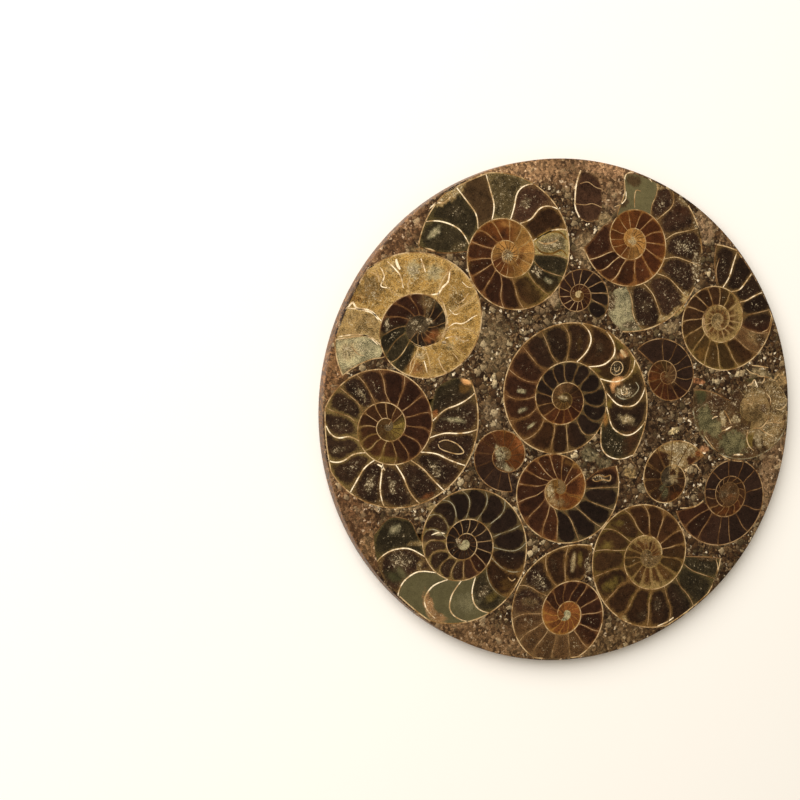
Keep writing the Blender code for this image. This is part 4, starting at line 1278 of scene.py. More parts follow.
class Graph:
    """One material's nodes, with short calls for the ones used here."""

    def __init__(self, name: str) -> None:
        """Start a material with one Principled BSDF.

        Args:
            name: the material's name.
        """
        self.material = bpy.data.materials.new(name)
        self.material.use_nodes = True
        self.tree = self.material.node_tree
        self.shader = self.tree.nodes["Principled BSDF"]

    def node(self, kind: str, **settings: object) -> bpy.types.Node:
        """New node with some of its settings.

        Args:
            kind: its type.
            settings: its properties.

        Returns:
            The node.
        """
        made = self.tree.nodes.new(kind)
        for key, value in settings.items():
            setattr(made, key, value)
        return made

    def feed(self, socket: Socket, value: Value) -> None:
        """Link a socket, or set its constant.

        Args:
            socket: an input.
            value: an output to link, or the constant.
        """
        if isinstance(value, bpy.types.NodeSocket):
            self.tree.links.new(value, socket)
        elif isinstance(value, (int, float)):
            socket.default_value = value
        elif len(socket.default_value) == 4 and len(value) == 3:
            socket.default_value = (*value, 1.0)
        else:
            socket.default_value = value

    def place(self) -> Socket:
        """Object coordinates in millimetres."""
        coordinates = self.node("ShaderNodeTexCoord").outputs["Object"]
        return self.vector("SCALE", coordinates, 1.0 / MM)

    def vector(self, operation: str, a: Value, b: Value) -> Socket:
        """Vector Math node.

        Args:
            operation: what it does.
            a: first value.
            b: second value, or the scale.

        Returns:
            Its result.
        """
        made = self.node("ShaderNodeVectorMath", operation=operation)
        self.feed(made.inputs[0], a)
        self.feed(made.inputs["Scale"] if operation == "SCALE" else made.inputs[1], b)
        return made.outputs["Value" if operation in ("LENGTH", "DOT_PRODUCT") else "Vector"]

    def math(self, operation: str, a: Value, b: Value = 0.0) -> Socket:
        """Math node.

        Args:
            operation: what it does.
            a: first value.
            b: second value, if it takes one.

        Returns:
            Its result.
        """
        made = self.node("ShaderNodeMath", operation=operation)
        self.feed(made.inputs[0], a)
        self.feed(made.inputs[1], b)
        return made.outputs["Value"]

    def smooth(self, value: Value, low: Value, high: Value, start: float = 0.0,
               end: float = 1.0) -> Socket:
        """Smooth step from start to end as the value goes from low to high.

        Args:
            value: the value.
            low, high: where the step begins and ends.
            start, end: the result before and after it.

        Returns:
            The result.
        """
        made = self.node("ShaderNodeMapRange", interpolation_type="SMOOTHSTEP")
        for name, given in (("Value", value), ("From Min", low), ("From Max", high),
                            ("To Min", start), ("To Max", end)):
            self.feed(made.inputs[name], given)
        return made.outputs["Result"]

    def mix(self, factor: Value, a: Value, b: Value, blend: str = "MIX") -> Socket:
        """Colour mix.

        Args:
            factor: share of the second colour.
            a: first colour.
            b: second colour.
            blend: how they are mixed.

        Returns:
            The mixed colour.
        """
        made = self.node("ShaderNodeMix", data_type="RGBA", blend_type=blend)
        self.feed(made.inputs[0], factor)
        self.feed(made.inputs[6], a)
        self.feed(made.inputs[7], b)
        return made.outputs[2]

    def noise(self, place: Value, scale: float, detail: float = 2.0,
              rough: float = 0.5) -> bpy.types.Node:
        """Noise texture.

        Args:
            place: where it is read.
            scale: how fine it is.
            detail: octaves of finer noise.
            rough: strength of the finer noise.

        Returns:
            Its node.
        """
        made = self.node("ShaderNodeTexNoise")
        self.feed(made.inputs["Vector"], place)
        made.inputs["Scale"].default_value = scale
        made.inputs["Detail"].default_value = detail
        made.inputs["Roughness"].default_value = rough
        return made

    def cells(self, place: Value, scale: float, feature: str = "F1") -> bpy.types.Node:
        """Voronoi texture.

        Args:
            place: where it is read.
            scale: how fine it is.
            feature: what it measures.

        Returns:
            Its node.
        """
        made = self.node("ShaderNodeTexVoronoi", feature=feature)
        self.feed(made.inputs["Vector"], place)
        made.inputs["Scale"].default_value = scale
        return made

    def ramp(self, factor: Value, colours: Sequence[tuple[float, Colour]]) -> Socket:
        """Colour ramp in sharp steps.

        Args:
            factor: place on the ramp.
            colours: start of each step, and its colour.

        Returns:
            The colour.
        """
        made = self.node("ShaderNodeValToRGB")
        ramp = made.color_ramp
        ramp.interpolation = "CONSTANT"
        for position, _ in colours[1:-1]:
            ramp.elements.new(position)
        for element, (position, _) in zip(ramp.elements, colours):
            element.position = position
        for element, (_, colour) in zip(ramp.elements, colours):
            element.color = (*colour, 1.0)
        self.feed(made.inputs["Fac"], factor)
        return made.outputs["Color"]

    def split(self, colour: Value) -> tuple[Socket, Socket, Socket]:
        """The three channels of a colour or vector.

        Args:
            colour: the colour or vector.

        Returns:
            The channels, in order.
        """
        made = self.node("ShaderNodeSeparateXYZ")
        self.feed(made.inputs[0], colour)
        return made.outputs[0], made.outputs[1], made.outputs[2]

    def attribute(self, name: str, vector: bool = False) -> Socket:
        """A mesh attribute, as a colour or as a vector."""
        made = self.node("ShaderNodeAttribute", attribute_name=name)
        return made.outputs["Vector" if vector else "Color"]

    def finish(self, colour: Value, roughness: Value, height: Optional[Value] = None,
               depth: float = 0.02, specular: float = 0.5,
               punch: float = 1.0) -> bpy.types.Material:
        """Feed the shader.

        Args:
            colour: base colour.
            roughness: roughness.
            height: bump height from 0 to 1, if any.
            depth: what a height of 1 means, in mm.
            specular: specular level.
            punch: contrast of the base colour, 1 for none.

        Returns:
            The finished material.
        """
        if punch != 1.0:
            curve = self.node("ShaderNodeGamma")
            self.feed(curve.inputs["Color"], colour)
            curve.inputs["Gamma"].default_value = punch
            colour = self.vector("SCALE", curve.outputs["Color"], punch)
        self.feed(self.shader.inputs["Base Color"], colour)
        self.feed(self.shader.inputs["Roughness"], roughness)
        self.shader.inputs["Specular IOR Level"].default_value = specular
        if height is not None:
            bump = self.node("ShaderNodeBump")
            bump.inputs["Strength"].default_value = 1.0
            bump.inputs["Distance"].default_value = depth * MM
            self.feed(bump.inputs["Height"], height)
            self.feed(self.shader.inputs["Normal"], bump.outputs["Normal"])
        return self.material


@dataclass(frozen=True)
class Zone:
    """Elliptic part of the plate where the grit has another cast.

    Attributes:
        centre: its middle, in mm.
        radii: its half axes, in mm.
        cast: its colour.
        strength: share of the cast.
        angle: turn of its first axis, in degrees.
        border: width of its soft border, as a share of its radii.
    """

    centre: Point
    radii: Point
    cast: Colour
    strength: float = 0.45
    angle: float = 0.0
    border: float = 0.7


@dataclass(frozen=True)
class GritFinish:
    """Crushed stone and shell in a hard brown binder, cut and polished.

    Attributes:
        binder: the binder's colour.
        coarse: width of the larger grains, in mm.
        fine: width of the smaller ones.
        fine_share: share of the plate that the smaller ones take.
        warp, warp_scale: how far and how finely the grains' outlines are bent.
        painted_side_light: painted shade and highlight across each larger grain, its brightness changing in
            x and y as if lit from one side.
        seam, seam_share: width of the binder's seams, in mm, and how much of it shows.
        fleck_scale, dapple: mottling within the grains.
        slow_scale, soiled: wide places with more binder.
        uneven_scale: raggedness of the zones' borders.
        speckle: brightness of a zone's grains.
        rim: colour of the plate's edge.
        rim_heights: where the edge takes that colour.
        gloss: roughness of dark and of pale grains.
        relief: depth of the grains, in mm.
        shine: specular level.
        zones: places with another cast.
        coarse_grains, fine_grains: mix of the grains' colours.
    """

    binder: Colour = srgb(48, 32, 18)
    coarse: float = 1.7
    fine: float = 0.75
    fine_share: float = 0.6
    warp: float = 1.2
    warp_scale: float = 1.1
    # painted shade and highlight: the same lighter side on every larger grain
    painted_side_light: Point = (-0.3, 0.4)
    seam: float = 0.12
    seam_share: float = 0.85
    fleck_scale: float = 2.2
    dapple: Span = (0.32, 0.68, 0.5, 1.4)
    slow_scale: float = 0.2
    soiled: Span = (0.38, 0.62, 0.25, 0.0)
    uneven_scale: float = 0.5
    speckle: Span = (0.0, 1.0, 0.5, 1.6)
    rim: Colour = srgb(132, 98, 68)
    rim_heights: Span = (4.5, 4.95, 0.6, 0.0)
    gloss: Span = (0.0, 1.0, 0.34, 0.5)
    relief: float = 0.012
    shine: float = 0.15
    zones: tuple[Zone, ...] = (
        Zone((-18.0, 73.0), (16.0, 6.0), srgb(166, 130, 94), 0.6, -2.0),
        Zone((8.0, 71.0), (14.0, 6.0), srgb(140, 108, 76), 0.45),
        Zone((16.0, 63.0), (4.0, 5.0), srgb(150, 120, 88), 0.4, 30.0),
        Zone((-68.0, -32.0), (9.0, 17.0), srgb(116, 84, 56), 0.55, 30.0),
        Zone((-73.0, 12.0), (5.0, 10.0), srgb(132, 96, 62), 0.6),
        Zone((-54.0, 52.0), (6.0, 14.0), srgb(128, 94, 64), 0.5, -45.0),
        Zone((-30.0, -67.0), (20.0, 7.0), srgb(124, 96, 66), 0.6, -18.0),
        Zone((12.0, -72.0), (18.0, 7.0), srgb(112, 88, 58), 0.5, 12.0),
        Zone((71.0, -22.0), (6.0, 14.0), srgb(140, 112, 82), 0.5, -12.0),
        Zone((60.0, 50.0), (8.0, 12.0), srgb(136, 106, 74), 0.4, 40.0),
        Zone((-29.8, -5.0), (2.6, 6.0), srgb(64, 44, 28), 0.8),
        Zone((-23.0, -1.0), (2.6, 4.6), srgb(150, 130, 100), 0.25, 12.0),
        Zone((-16.4, -22.0), (1.7, 3.4), srgb(46, 31, 22), 0.9, 0.0, 0.3),
        Zone((-3.4, 33.6), (1.4, 2.4), srgb(170, 146, 112), 0.45),
        Zone((-22.0, 20.0), (5.0, 8.0), srgb(150, 130, 96), 0.25),
        Zone((-60.0, -38.0), (4.0, 4.0), srgb(140, 112, 76), 0.35),
        Zone((3.0, 28.2), (3.4, 1.8), srgb(70, 52, 34), 0.5),
        Zone((30.0, -4.0), (6.0, 8.0), srgb(70, 52, 34), 0.45),
        Zone((36.2, -6.8), (2.2, 0.9), srgb(176, 156, 116), 0.95, 26.0, 0.25),
        Zone((8.4, -13.4), (3.0, 2.0), srgb(106, 96, 70), 0.7, -10.0, 0.4),
        Zone((13.0, -15.8), (2.6, 1.7), srgb(96, 86, 62), 0.6, 0.0, 0.4),
        Zone((21.6, -19.2), (2.2, 1.5), srgb(146, 122, 82), 0.8, -20.0, 0.3),
        Zone((44.2, 8.2), (2.3, 0.9), srgb(140, 96, 62), 0.8, -12.0, 0.3),
        Zone((-42.0, -27.8), (1.4, 1.4), srgb(136, 116, 80), 0.7, 0.0, 0.3),
        Zone((25.4, -24.2), (1.6, 1.0), srgb(128, 114, 88), 0.7, -40.0, 0.3),
        Zone((14.0, 73.0), (9.0, 3.0), srgb(166, 130, 96), 0.6, -8.0),
        Zone((7.0, 48.0), (3.4, 5.0), srgb(150, 126, 92), 0.5),
        Zone((12.6, 57.0), (2.6, 2.0), srgb(150, 128, 92), 0.5),
        Zone((46.2, 55.0), (2.4, 5.0), srgb(158, 130, 98), 0.5, 15.0),
        Zone((42.0, -37.6), (3.6, 2.0), srgb(150, 126, 94), 0.5),
        Zone((46.4, -12.6), (1.5, 1.1), srgb(166, 122, 84), 0.7),
        Zone((66.0, 9.4), (5.0, 2.0), srgb(132, 116, 84), 0.6, -20.0),
        Zone((42.6, 42.4), (1.3, 2.3), srgb(140, 118, 74), 0.9, 14.0, 0.4),
        Zone((34.8, 24.4), (3.0, 1.6), srgb(150, 130, 96), 0.5, 10.0, 0.4),
        Zone((37.6, 29.6), (2.4, 0.9), srgb(146, 124, 80), 0.8, 42.0, 0.4),
        Zone((-50.0, -27.4), (7.0, 1.2), srgb(146, 124, 92), 0.5, 6.0),
        Zone((72.4, 8.4), (2.2, 2.4), srgb(150, 124, 84), 0.8),
        Zone((-43.8, 48.0), (4.0, 0.8), srgb(150, 126, 88), 0.6, 4.0),
    )
    coarse_grains: tuple[tuple[float, Colour], ...] = (
        (0.0, srgb(78, 56, 34)), (0.2, srgb(104, 82, 55)), (0.38, srgb(90, 76, 52)),
        (0.52, srgb(118, 97, 70)), (0.66, srgb(134, 114, 84)), (0.8, srgb(152, 132, 100)),
        (0.92, srgb(186, 166, 130)))
    fine_grains: tuple[tuple[float, Colour], ...] = (
        (0.0, srgb(44, 30, 17)), (0.2, srgb(78, 55, 32)), (0.38, srgb(106, 81, 52)),
        (0.54, srgb(92, 77, 52)), (0.68, srgb(130, 104, 72)), (0.83, srgb(168, 144, 110)),
        (0.93, srgb(226, 208, 176)))

    def build(self) -> bpy.types.Material:
        """Make the material.

        Returns:
            The grit material, in Object coordinates.
        """
        g = Graph("crushed_stone_grit")
        place = g.place()
        push = g.vector("SUBTRACT", g.noise(place, self.warp_scale).outputs["Color"],
                        (0.5, 0.5, 0.5))
        bent = g.vector("ADD", place, g.vector("SCALE", push, self.warp))
        large = g.cells(bent, 1.0 / self.coarse)
        small = g.cells(bent, 1.0 / self.fine)
        rim_large = g.cells(bent, 1.0 / self.coarse, "DISTANCE_TO_EDGE").outputs["Distance"]
        rim_small = g.cells(bent, 1.0 / self.fine, "DISTANCE_TO_EDGE").outputs["Distance"]
        pick, shade, _ = g.split(large.outputs["Color"])
        fine_shade = g.split(small.outputs["Color"])[1]
        is_large = g.math("GREATER_THAN", pick, self.fine_share)
        # painted shade and highlight: each larger grain is lighter on one side and darker on the other, as
        # if lit from one direction
        lean = g.vector("SUBTRACT", bent, large.outputs["Position"])
        facet = g.vector("DOT_PRODUCT", lean, (*self.painted_side_light, 0.0))
        fleck = g.noise(place, self.fleck_scale, 4.0, 0.75).outputs["Fac"]
        colour = g.mix(is_large, g.ramp(fine_shade, self.fine_grains),
                       g.ramp(shade, self.coarse_grains))
        dapple = g.smooth(fleck, *self.dapple)
        # the painted side light is put on the larger grains only, together with the dapple
        colour = g.vector("SCALE", colour, g.math("MULTIPLY", dapple, g.math(
            "ADD", 1.0, g.math("MULTIPLY", facet, is_large))))
        rim = g.math("MINIMUM", g.math("ADD", rim_small, is_large), rim_large)
        colour = g.mix(g.smooth(rim, 0.0, self.seam, self.seam_share, 0.0), colour, self.binder)
        slow = g.noise(place, self.slow_scale, 3.0, 0.6).outputs["Fac"]
        colour = g.mix(g.smooth(slow, *self.soiled), colour, self.binder)
        uneven = g.noise(place, self.uneven_scale, 3.0, 0.6).outputs["Fac"]
        speckle = g.math("MULTIPLY", dapple, g.smooth(fine_shade, *self.speckle))
        for zone in self.zones:
            frame_of = g.node("ShaderNodeMapping", vector_type="TEXTURE")
            g.feed(frame_of.inputs["Vector"], place)
            frame_of.inputs["Location"].default_value = (*zone.centre, DISC_THICKNESS)
            frame_of.inputs["Rotation"].default_value = (0.0, 0.0, radians(zone.angle))
            frame_of.inputs["Scale"].default_value = (*zone.radii, ZONE_DEPTH)
            reach = g.vector("LENGTH", frame_of.outputs["Vector"], (0.0, 0.0, 0.0))
            ragged = g.math("ADD", reach, g.math("MULTIPLY", uneven, zone.border))
            share = g.smooth(ragged, 1.0, 1.0 + zone.border, zone.strength, 0.0)
            colour = g.mix(share, colour, g.vector("SCALE", zone.cast, speckle))
        height = g.split(place)[2]
        colour = g.mix(g.smooth(height, *self.rim_heights), colour,
                       g.vector("SCALE", self.rim, speckle))
        bump = g.math("MULTIPLY", pick, g.smooth(rim, 0.0, self.seam))
        return g.finish(colour, g.smooth(fine_shade, *self.gloss), bump, self.relief, self.shine,
                        PUNCH)


@dataclass(frozen=True)
class CalciteFinish:
    """Polished mineral in the chambers, coloured by the slice's own attributes.

    Attributes:
        haze: dull colour around the crystals.
        glint: colour of their facets.
        vein: colour of the veins.
        slow_scale, quick_scale, fleck_scale, facet_scale: how fine the noises are.
        swing, grit: change in brightness by wide places and by fine grain.
        soft: change in brightness of the lining.
        ragged: raggedness of the lining's and the crystals' borders.
        border: how the lining fades towards the chamber's middle.
        haze_light, haze_share: brightness of the haze, and where it shows.
        clumping: how much the facets gather in the middle.
        facets, glint_from: where facets show.
        glint_share, glint_light: how much of them shows, and their brightness.
        vein_width, vein_where: how the veins fade sideways, and where they are.
        gloss: roughness.
        relief: depth of the fine relief, in mm.
        shine: specular level.
    """

    haze: Colour = srgb(104, 86, 62)
    glint: Colour = srgb(198, 180, 146)
    vein: Colour = srgb(214, 190, 140)
    slow_scale: float = 0.3
    quick_scale: float = 0.9
    fleck_scale: float = 3.2
    facet_scale: float = 2.1
    swing: Span = (0.35, 0.65, -0.45, 0.45)
    grit: Span = (0.35, 0.65, -0.5, 0.6)
    soft: Span = (0.3, 0.7, -0.5, 0.5)
    ragged: Span = (0.3, 0.7, -0.35, 0.35)
    border: Span = (-0.1, 1.4, 0.95, 0.0)
    haze_light: Span = (0.3, 0.7, 0.4, 1.4)
    haze_share: Span = (0.45, 0.95, 0.0, 0.6)
    clumping: float = 0.16
    facets: Span = (0.64, 0.74, 0.0, 1.0)
    glint_from: Span = (0.02, 0.2, 0.0, 1.0)
    glint_share: float = 0.9
    glint_light: Span = (0.35, 0.65, 0.6, 1.2)
    vein_width: Span = (0.003, 0.02, 1.0, 0.0)
    vein_where: Span = (0.45, 0.6, 0.0, 1.0)
    gloss: Span = (0.3, 0.7, 0.26, 0.4)
    relief: float = 0.01
    shine: float = 0.12

    def build(self) -> bpy.types.Material:
        """Make the material.

        Returns:
            The calcite material, on the attributes tone, lining and marks.
        """
        g = Graph("chamber_calcite")
        place = g.place()
        tone, lining = g.attribute("tone"), g.attribute("lining")
        cloud = tone.node.outputs["Alpha"]
        edge, crystal, vein = g.split(g.attribute("marks", True))
        slow = g.noise(place, self.slow_scale, 2.0, 0.6).outputs["Fac"]
        quick = g.noise(place, self.quick_scale, 4.0, 0.65).outputs["Fac"]
        fleck = g.noise(place, self.fleck_scale, 3.0, 0.7).outputs["Fac"]
        both = g.math("ADD", g.math("MULTIPLY", slow, 0.5), g.math("MULTIPLY", quick, 0.5))
        swing = g.smooth(both, *self.swing)
        grit = g.smooth(fleck, *self.grit)
        gain = g.math("ADD", 1.0, g.math("MULTIPLY", cloud, g.math("ADD", swing, grit)))
        body = g.vector("SCALE", tone, gain)
        ragged = g.math("SUBTRACT", edge, g.smooth(quick, *self.ragged))
        soft = g.math("ADD", 1.0, g.math("MULTIPLY", g.math("ADD", cloud, 0.3),
                                         g.smooth(fleck, *self.soft)))
        colour = g.mix(g.smooth(ragged, *self.border), body,
                       g.vector("SCALE", lining, soft))
        clump = g.math("ADD", crystal, g.smooth(quick, *self.ragged))
        haze = g.vector("SCALE", self.haze, g.smooth(fleck, *self.haze_light))
        colour = g.mix(g.smooth(clump, *self.haze_share), colour, haze)
        facet = g.noise(place, self.facet_scale, 3.0, 0.75).outputs["Fac"]
        lit = g.math("ADD", facet, g.math("MULTIPLY", clump, self.clumping))
        share = g.math("MULTIPLY", g.smooth(lit, *self.facets),
                       g.smooth(crystal, *self.glint_from))
        colour = g.mix(g.math("MULTIPLY", share, self.glint_share), colour, g.vector(
            "SCALE", self.glint, g.smooth(fleck, *self.glint_light)))
        winding = g.noise(place, self.slow_scale, 5.0).outputs["Fac"]
        ridge = g.math("ABSOLUTE", g.math("SUBTRACT", winding, 0.5))
        line = g.math("MULTIPLY", g.smooth(ridge, *self.vein_width),
                      g.smooth(slow, *self.vein_where))
        colour = g.mix(g.math("MULTIPLY", line, vein), colour, self.vein)
        return g.finish(colour, g.smooth(quick, *self.gloss), quick, self.relief, self.shine, PUNCH)


@dataclass(frozen=True)
class ShellFinish:
    """Shell wall seen edge-on, in the tint that each ribbon carries.

    Attributes:
        faded: cast of its worn places.
        slow_scale, grain_scale: how fine the noises are.
        grain, wear: change in brightness by fine grain and by worn places.
        fade: where the worn places' cast shows.
        gloss: roughness.
        relief: depth of the fine relief, in mm.
        shine: specular level.
    """

    faded: Colour = srgb(240, 214, 176)
    slow_scale: float = 0.28
    grain_scale: float = 2.2
    grain: Span = (0.25, 0.75, 0.7, 1.2)
    wear: Span = (0.36, 0.6, 0.56, 1.12)
    fade: Span = (0.36, 0.6, 1.0, 0.0)
    gloss: float = 0.4
    relief: float = 0.01
    shine: float = 0.15

    def build(self) -> bpy.types.Material:
        """Make the material.

        Returns:
            The shell material, on the attribute tone.
        """
        g = Graph("shell_wall")
        place = g.place()
        slow = g.noise(place, self.slow_scale, 3.0, 0.6).outputs["Fac"]
        grain = g.noise(place, self.grain_scale, 3.0, 0.6).outputs["Fac"]
        gain = g.math("MULTIPLY", g.smooth(grain, *self.grain), g.smooth(slow, *self.wear))
        colour = g.vector("SCALE", g.attribute("tone"), gain)
        colour = g.mix(g.smooth(slow, *self.fade), colour, self.faded, "MULTIPLY")
        return g.finish(colour, self.gloss, grain, self.relief, self.shine, PUNCH)


# --- pieces ----------------------------------------------------------------------------------------
@dataclass
class Slice:
    """One ammonite slice: the filling of its chambers and its lines of shell.

    Attributes:
        shell: what is known of it.
        filling: material of its fillings.
        wall: material of its lines.
        septa: all its septa, from the mouth to the core.
    """

    shell: Shell
    filling: bpy.types.Material
    wall: bpy.types.Material
    septa: list[Septum] = field(default_factory=list)

    def __post_init__(self) -> None:
        """Work out every septum, from the mouth to the core."""
        shell = self.shell
        tint = shell.septum_tint
        for middle, inner, outer in shell.septa:
            bright = middle <= shell.bright
            width = BRIGHT_SEPTUM if bright else PLAIN_SEPTUM
            if middle > FULL_TURN:
                tint, width = shell.inner_tint, INNER_SEPTUM
            self.septa.append(Septum(middle, inner, outer, Tint.CREAM if bright else tint, width))
        step, inner, outer = shell.step
        middle = self.septa[-1].middle + step
        chance = random.Random(shell.node)
        while middle < shell.depth:
            tint = Tint.BROWN if middle > DARK_FROM else shell.inner_tint
            bend = BEND_LEAST + BEND_SWING * chance.random()
            miss = JITTER * (chance.random() - 0.5)
            self.septa.append(Septum(middle + miss, inner * bend, outer * bend, tint, INNER_SEPTUM,
                                     shell.wave))
            middle += step
        self.septa.append(Septum(shell.depth, 0.0, 0.0, shell.inner_tint, INNER_SEPTUM))

    def runs(self) -> list[list[Edge]]:
        """The edges of the chambers, for each unbroken stretch.

        Returns:
            Lists from the mouth inwards; each chamber lies between two neighbours.
        """
        gap = self.shell.gap
        if gap is None:
            return [[self.shell.lip, *self.septa]]
        first = [s for s in self.septa if s.middle < gap[0].middle]
        second = [s for s in self.septa if s.middle > gap[1].middle]
        return [[self.shell.lip, *first, gap[0]], [gap[1], *second]]

    def stretches(self, end: float) -> list[tuple[float, float]]:
        """Unbroken stretches of the outer wall.

        Args:
            end: angle at which the last one ends.

        Returns:
            Their first and last angles.
        """
        start, gap = self.shell.lip.degrees(1.0), self.shell.gap
        if gap is None:
            return [(start, end)]
        return [(start, gap[0].degrees(1.0)), (gap[1].degrees(1.0), end)]

    def look(self, degrees: float) -> Filling:
        """Filling at an angle, blended between the given ones.

        Args:
            degrees: the angle, inwards from the mouth.

        Returns:
            The filling.
        """
        fills = self.shell.fills
        if degrees <= fills[0][0]:
            return fills[0][1].value
        for (a, first), (b, second) in zip(fills, fills[1:]):
            if degrees <= b:
                return first.value.blend(second.value, (degrees - a) / (b - a))
        return fills[-1][1].value

    def outline(self) -> list[Point]:
        """Edge of the slice, for its pocket.

        Returns:
            Its points, counterclockwise.
        """
        coil, shell = self.shell.coil, self.shell
        points: list[Point] = []
        for number, (start, end) in enumerate(self.stretches(FULL_TURN)):
            if number:
                before, after = shell.gap
                points += [coil.point(before.degrees(v), v * coil.kept(before.middle))
                           for v in GAP_SHARES[0]]
                first = before.degrees(0.0)
                points += [coil.point(first + (after.degrees(0.0) - first) * i / GAP_SIDES, 0.0)
                           for i in range(GAP_SIDES + 1)]
                points += [coil.point(after.degrees(v), v) for v in GAP_SHARES[1]]
            count = ceil((end - start) / OUTLINE_STEP)
            for i in range(count + 1):
                degrees = start + (end - start) * i / count
                points.append(coil.point(degrees, coil.kept(degrees)))
        points += [coil.point(shell.lip.degrees(v), v * coil.kept(shell.lip.middle))
                   for v in MOUTH_SHARES]
        return counterclockwise(points)

    def paint(self, vert: bmesh.types.BMVert, bm: bmesh.types.BMesh, place: Point,
              look: Filling, edge: float, deep: float, shade: float, size: float) -> None:
        """Write one vertex's colours and marks.

        Args:
            vert: the vertex.
            bm: its mesh.
            place: where it is on the plate.
            look: filling around it, before patches.
            edge: distance from the nearest wall, in mm.
            deep: share of crystals there, before patches.
            shade: brightness of its chamber.
            size: its chamber's smaller side, in mm.
        """
        for patch in self.shell.patches:
            share = patch.weight(place)
            if share > 0.0:
                look = look.blend(patch.look.value, share)
                drusy = patch.look.value.crystal > DRUSY_LOOK
                deep = max(deep, share) if drusy else deep * (1.0 - share)
        reach = look.reach * min(1.0, size / FULL_SIZE) ** REACH_POWER
        mark(bm, vert, look, shade, (edge / reach, look.crystal * deep, look.vein))

    def fill_chamber(self, bm: bmesh.types.BMesh, near: Edge, far: Edge,
                     chance: random.Random) -> None:
        """Add one chamber's filling as a warped grid with its colours.

        Args:
            bm: mesh that it is added to.
            near: its edge on the mouth's side.
            far: its edge on the core's side.
            chance: source of its own shade and crystals.
        """
        coil = self.shell.coil
        middle = 0.5 * (near.middle + far.middle)
        width = coil.width(middle)
        length = (radians(far.middle - near.middle) * 0.5
                  * (coil.radius(middle) + coil.radius(middle + FULL_TURN)))
        cell = CELL if width > NARROW_WHORL else 0.5 * CELL
        columns = max(FEWEST_CELLS, ceil(length / cell))
        rows = max(FEWEST_CELLS, ceil(width / cell))
        made = bmesh.ops.create_grid(bm, x_segments=columns, y_segments=rows, size=1.0)
        shade = 1.0 + SHADE_SWING * (chance.random() - 0.5)
        least, gain, power = DRUSY_LIGHT
        lit = least + gain * chance.random() ** power
        for vert in made["verts"]:
            s, v = 0.5 * (vert.co.x + 1.0), 0.5 * (vert.co.y + 1.0)
            degrees = near.degrees(v) + s * (far.degrees(v) - near.degrees(v))
            across = v * coil.kept(degrees)
            place = coil.point(degrees, across)
            vert.co = metres(place, FILL_TOP)
            look = self.look(near.middle + s * (far.middle - near.middle))
            side = width * min(across * (1.0 + look.lean), (1.0 - across) * (1.0 - look.lean))
            end = min(s, 1.0 - s) * length
            bay = 0.5 * look.bay * min(width, length) * min(1.0, width / FULL_SIZE)
            edge = min(side, end)
            if side < bay and end < bay:
                edge = bay - hypot(bay - side, bay - end)
            deep = max(1.0 - hypot((s - 0.5) / DRUSY_RADII[0], (v - 0.5) / DRUSY_RADII[1]), 0.0)
            self.paint(vert, bm, place, look, edge, deep * lit + CLOUDY_DRUSY * look.cloud ** 3,
                       shade, min(width, length))
        faces = {f for vert in made["verts"] for f in vert.link_faces}
        thicken(bm, list(faces), FILL_TOP - FILL_BOTTOM)

    def fill_core(self, bm: bmesh.types.BMesh) -> None:
        """Add the middle of the coil, inside the last drawn turn.

        Args:
            bm: mesh that it is added to.
        """
        coil, look = self.shell.coil, self.shell.core.value
        end = self.shell.depth
        angles = [end + CORE_STEP * i for i in range(CORE_SIDES)]
        rings = [counterclockwise(coil.polar(coil.radius(angle) * share, angle)
                                  for angle in angles) for share in CORE_RINGS]
        disc = bmesh.ops.create_circle(bm, cap_ends=True, segments=CORE_SIDES, radius=1.0)
        verts = disc["verts"]
        for vert, place in zip(verts, rings[0]):
            vert.co = metres(place, FILL_TOP)
            self.paint(vert, bm, place, look, 0.0, 0.0, 1.0, CORE_SIZE)
        faces = list({f for vert in verts for f in vert.link_faces})
        whole = [*faces]
        for number, places in enumerate(rings[1:], 1):
            made = bmesh.ops.inset_individual(bm, faces=faces, thickness=TINY)
            whole += made["faces"]
            loop = list(faces[0].verts)
            corner = loop[0].co
            start = min(range(CORE_SIDES),
                        key=lambda i: (corner - metres(places[i], FILL_TOP)).length)
            turn = 1 if signed_area([(v.co.x, v.co.y) for v in loop]) >= 0.0 else -1
            for i, vert in enumerate(loop):
                place = places[(start + turn * i) % CORE_SIDES]
                vert.co = metres(place, FILL_TOP)
                self.paint(vert, bm, place, look, number * CORE_RINGS[-1] * coil.radius(end),
                           CORE_DRUSY * number, 1.0, CORE_SIZE)
        thicken(bm, whole, FILL_TOP - FILL_BOTTOM)

    def add_whorl_wall(self, bm: bmesh.types.BMesh, start: float, end: float) -> None:
        """Add one stretch of the whorl wall, as far as it is there.

        Args:
            bm: mesh that it is added to.
            start, end: its angles inwards from the mouth.
        """
        coil, shell = self.shell.coil, self.shell
        tint = shell.wall_tint.value
        line: list[Point] = []
        widths: list[float] = []
        degrees = start
        while degrees < end:
            kept, radius = coil.kept(degrees), coil.radius(degrees)
            whole = not any(a < degrees < b for a, b in shell.bare)
            if whole and kept > shell.rim_wall:
                line.append(coil.point(degrees, kept))
                widths.append(WALL_WIDTH + WALL_GAIN * (radius / WALL_REACH) ** 0.5)
            else:
                ribbon(bm, line, widths, tint)
                line, widths = [], []
            degrees += RIBBON_STEP / max(radius, 1.0) * 180.0 / pi
        ribbon(bm, line, widths, tint)

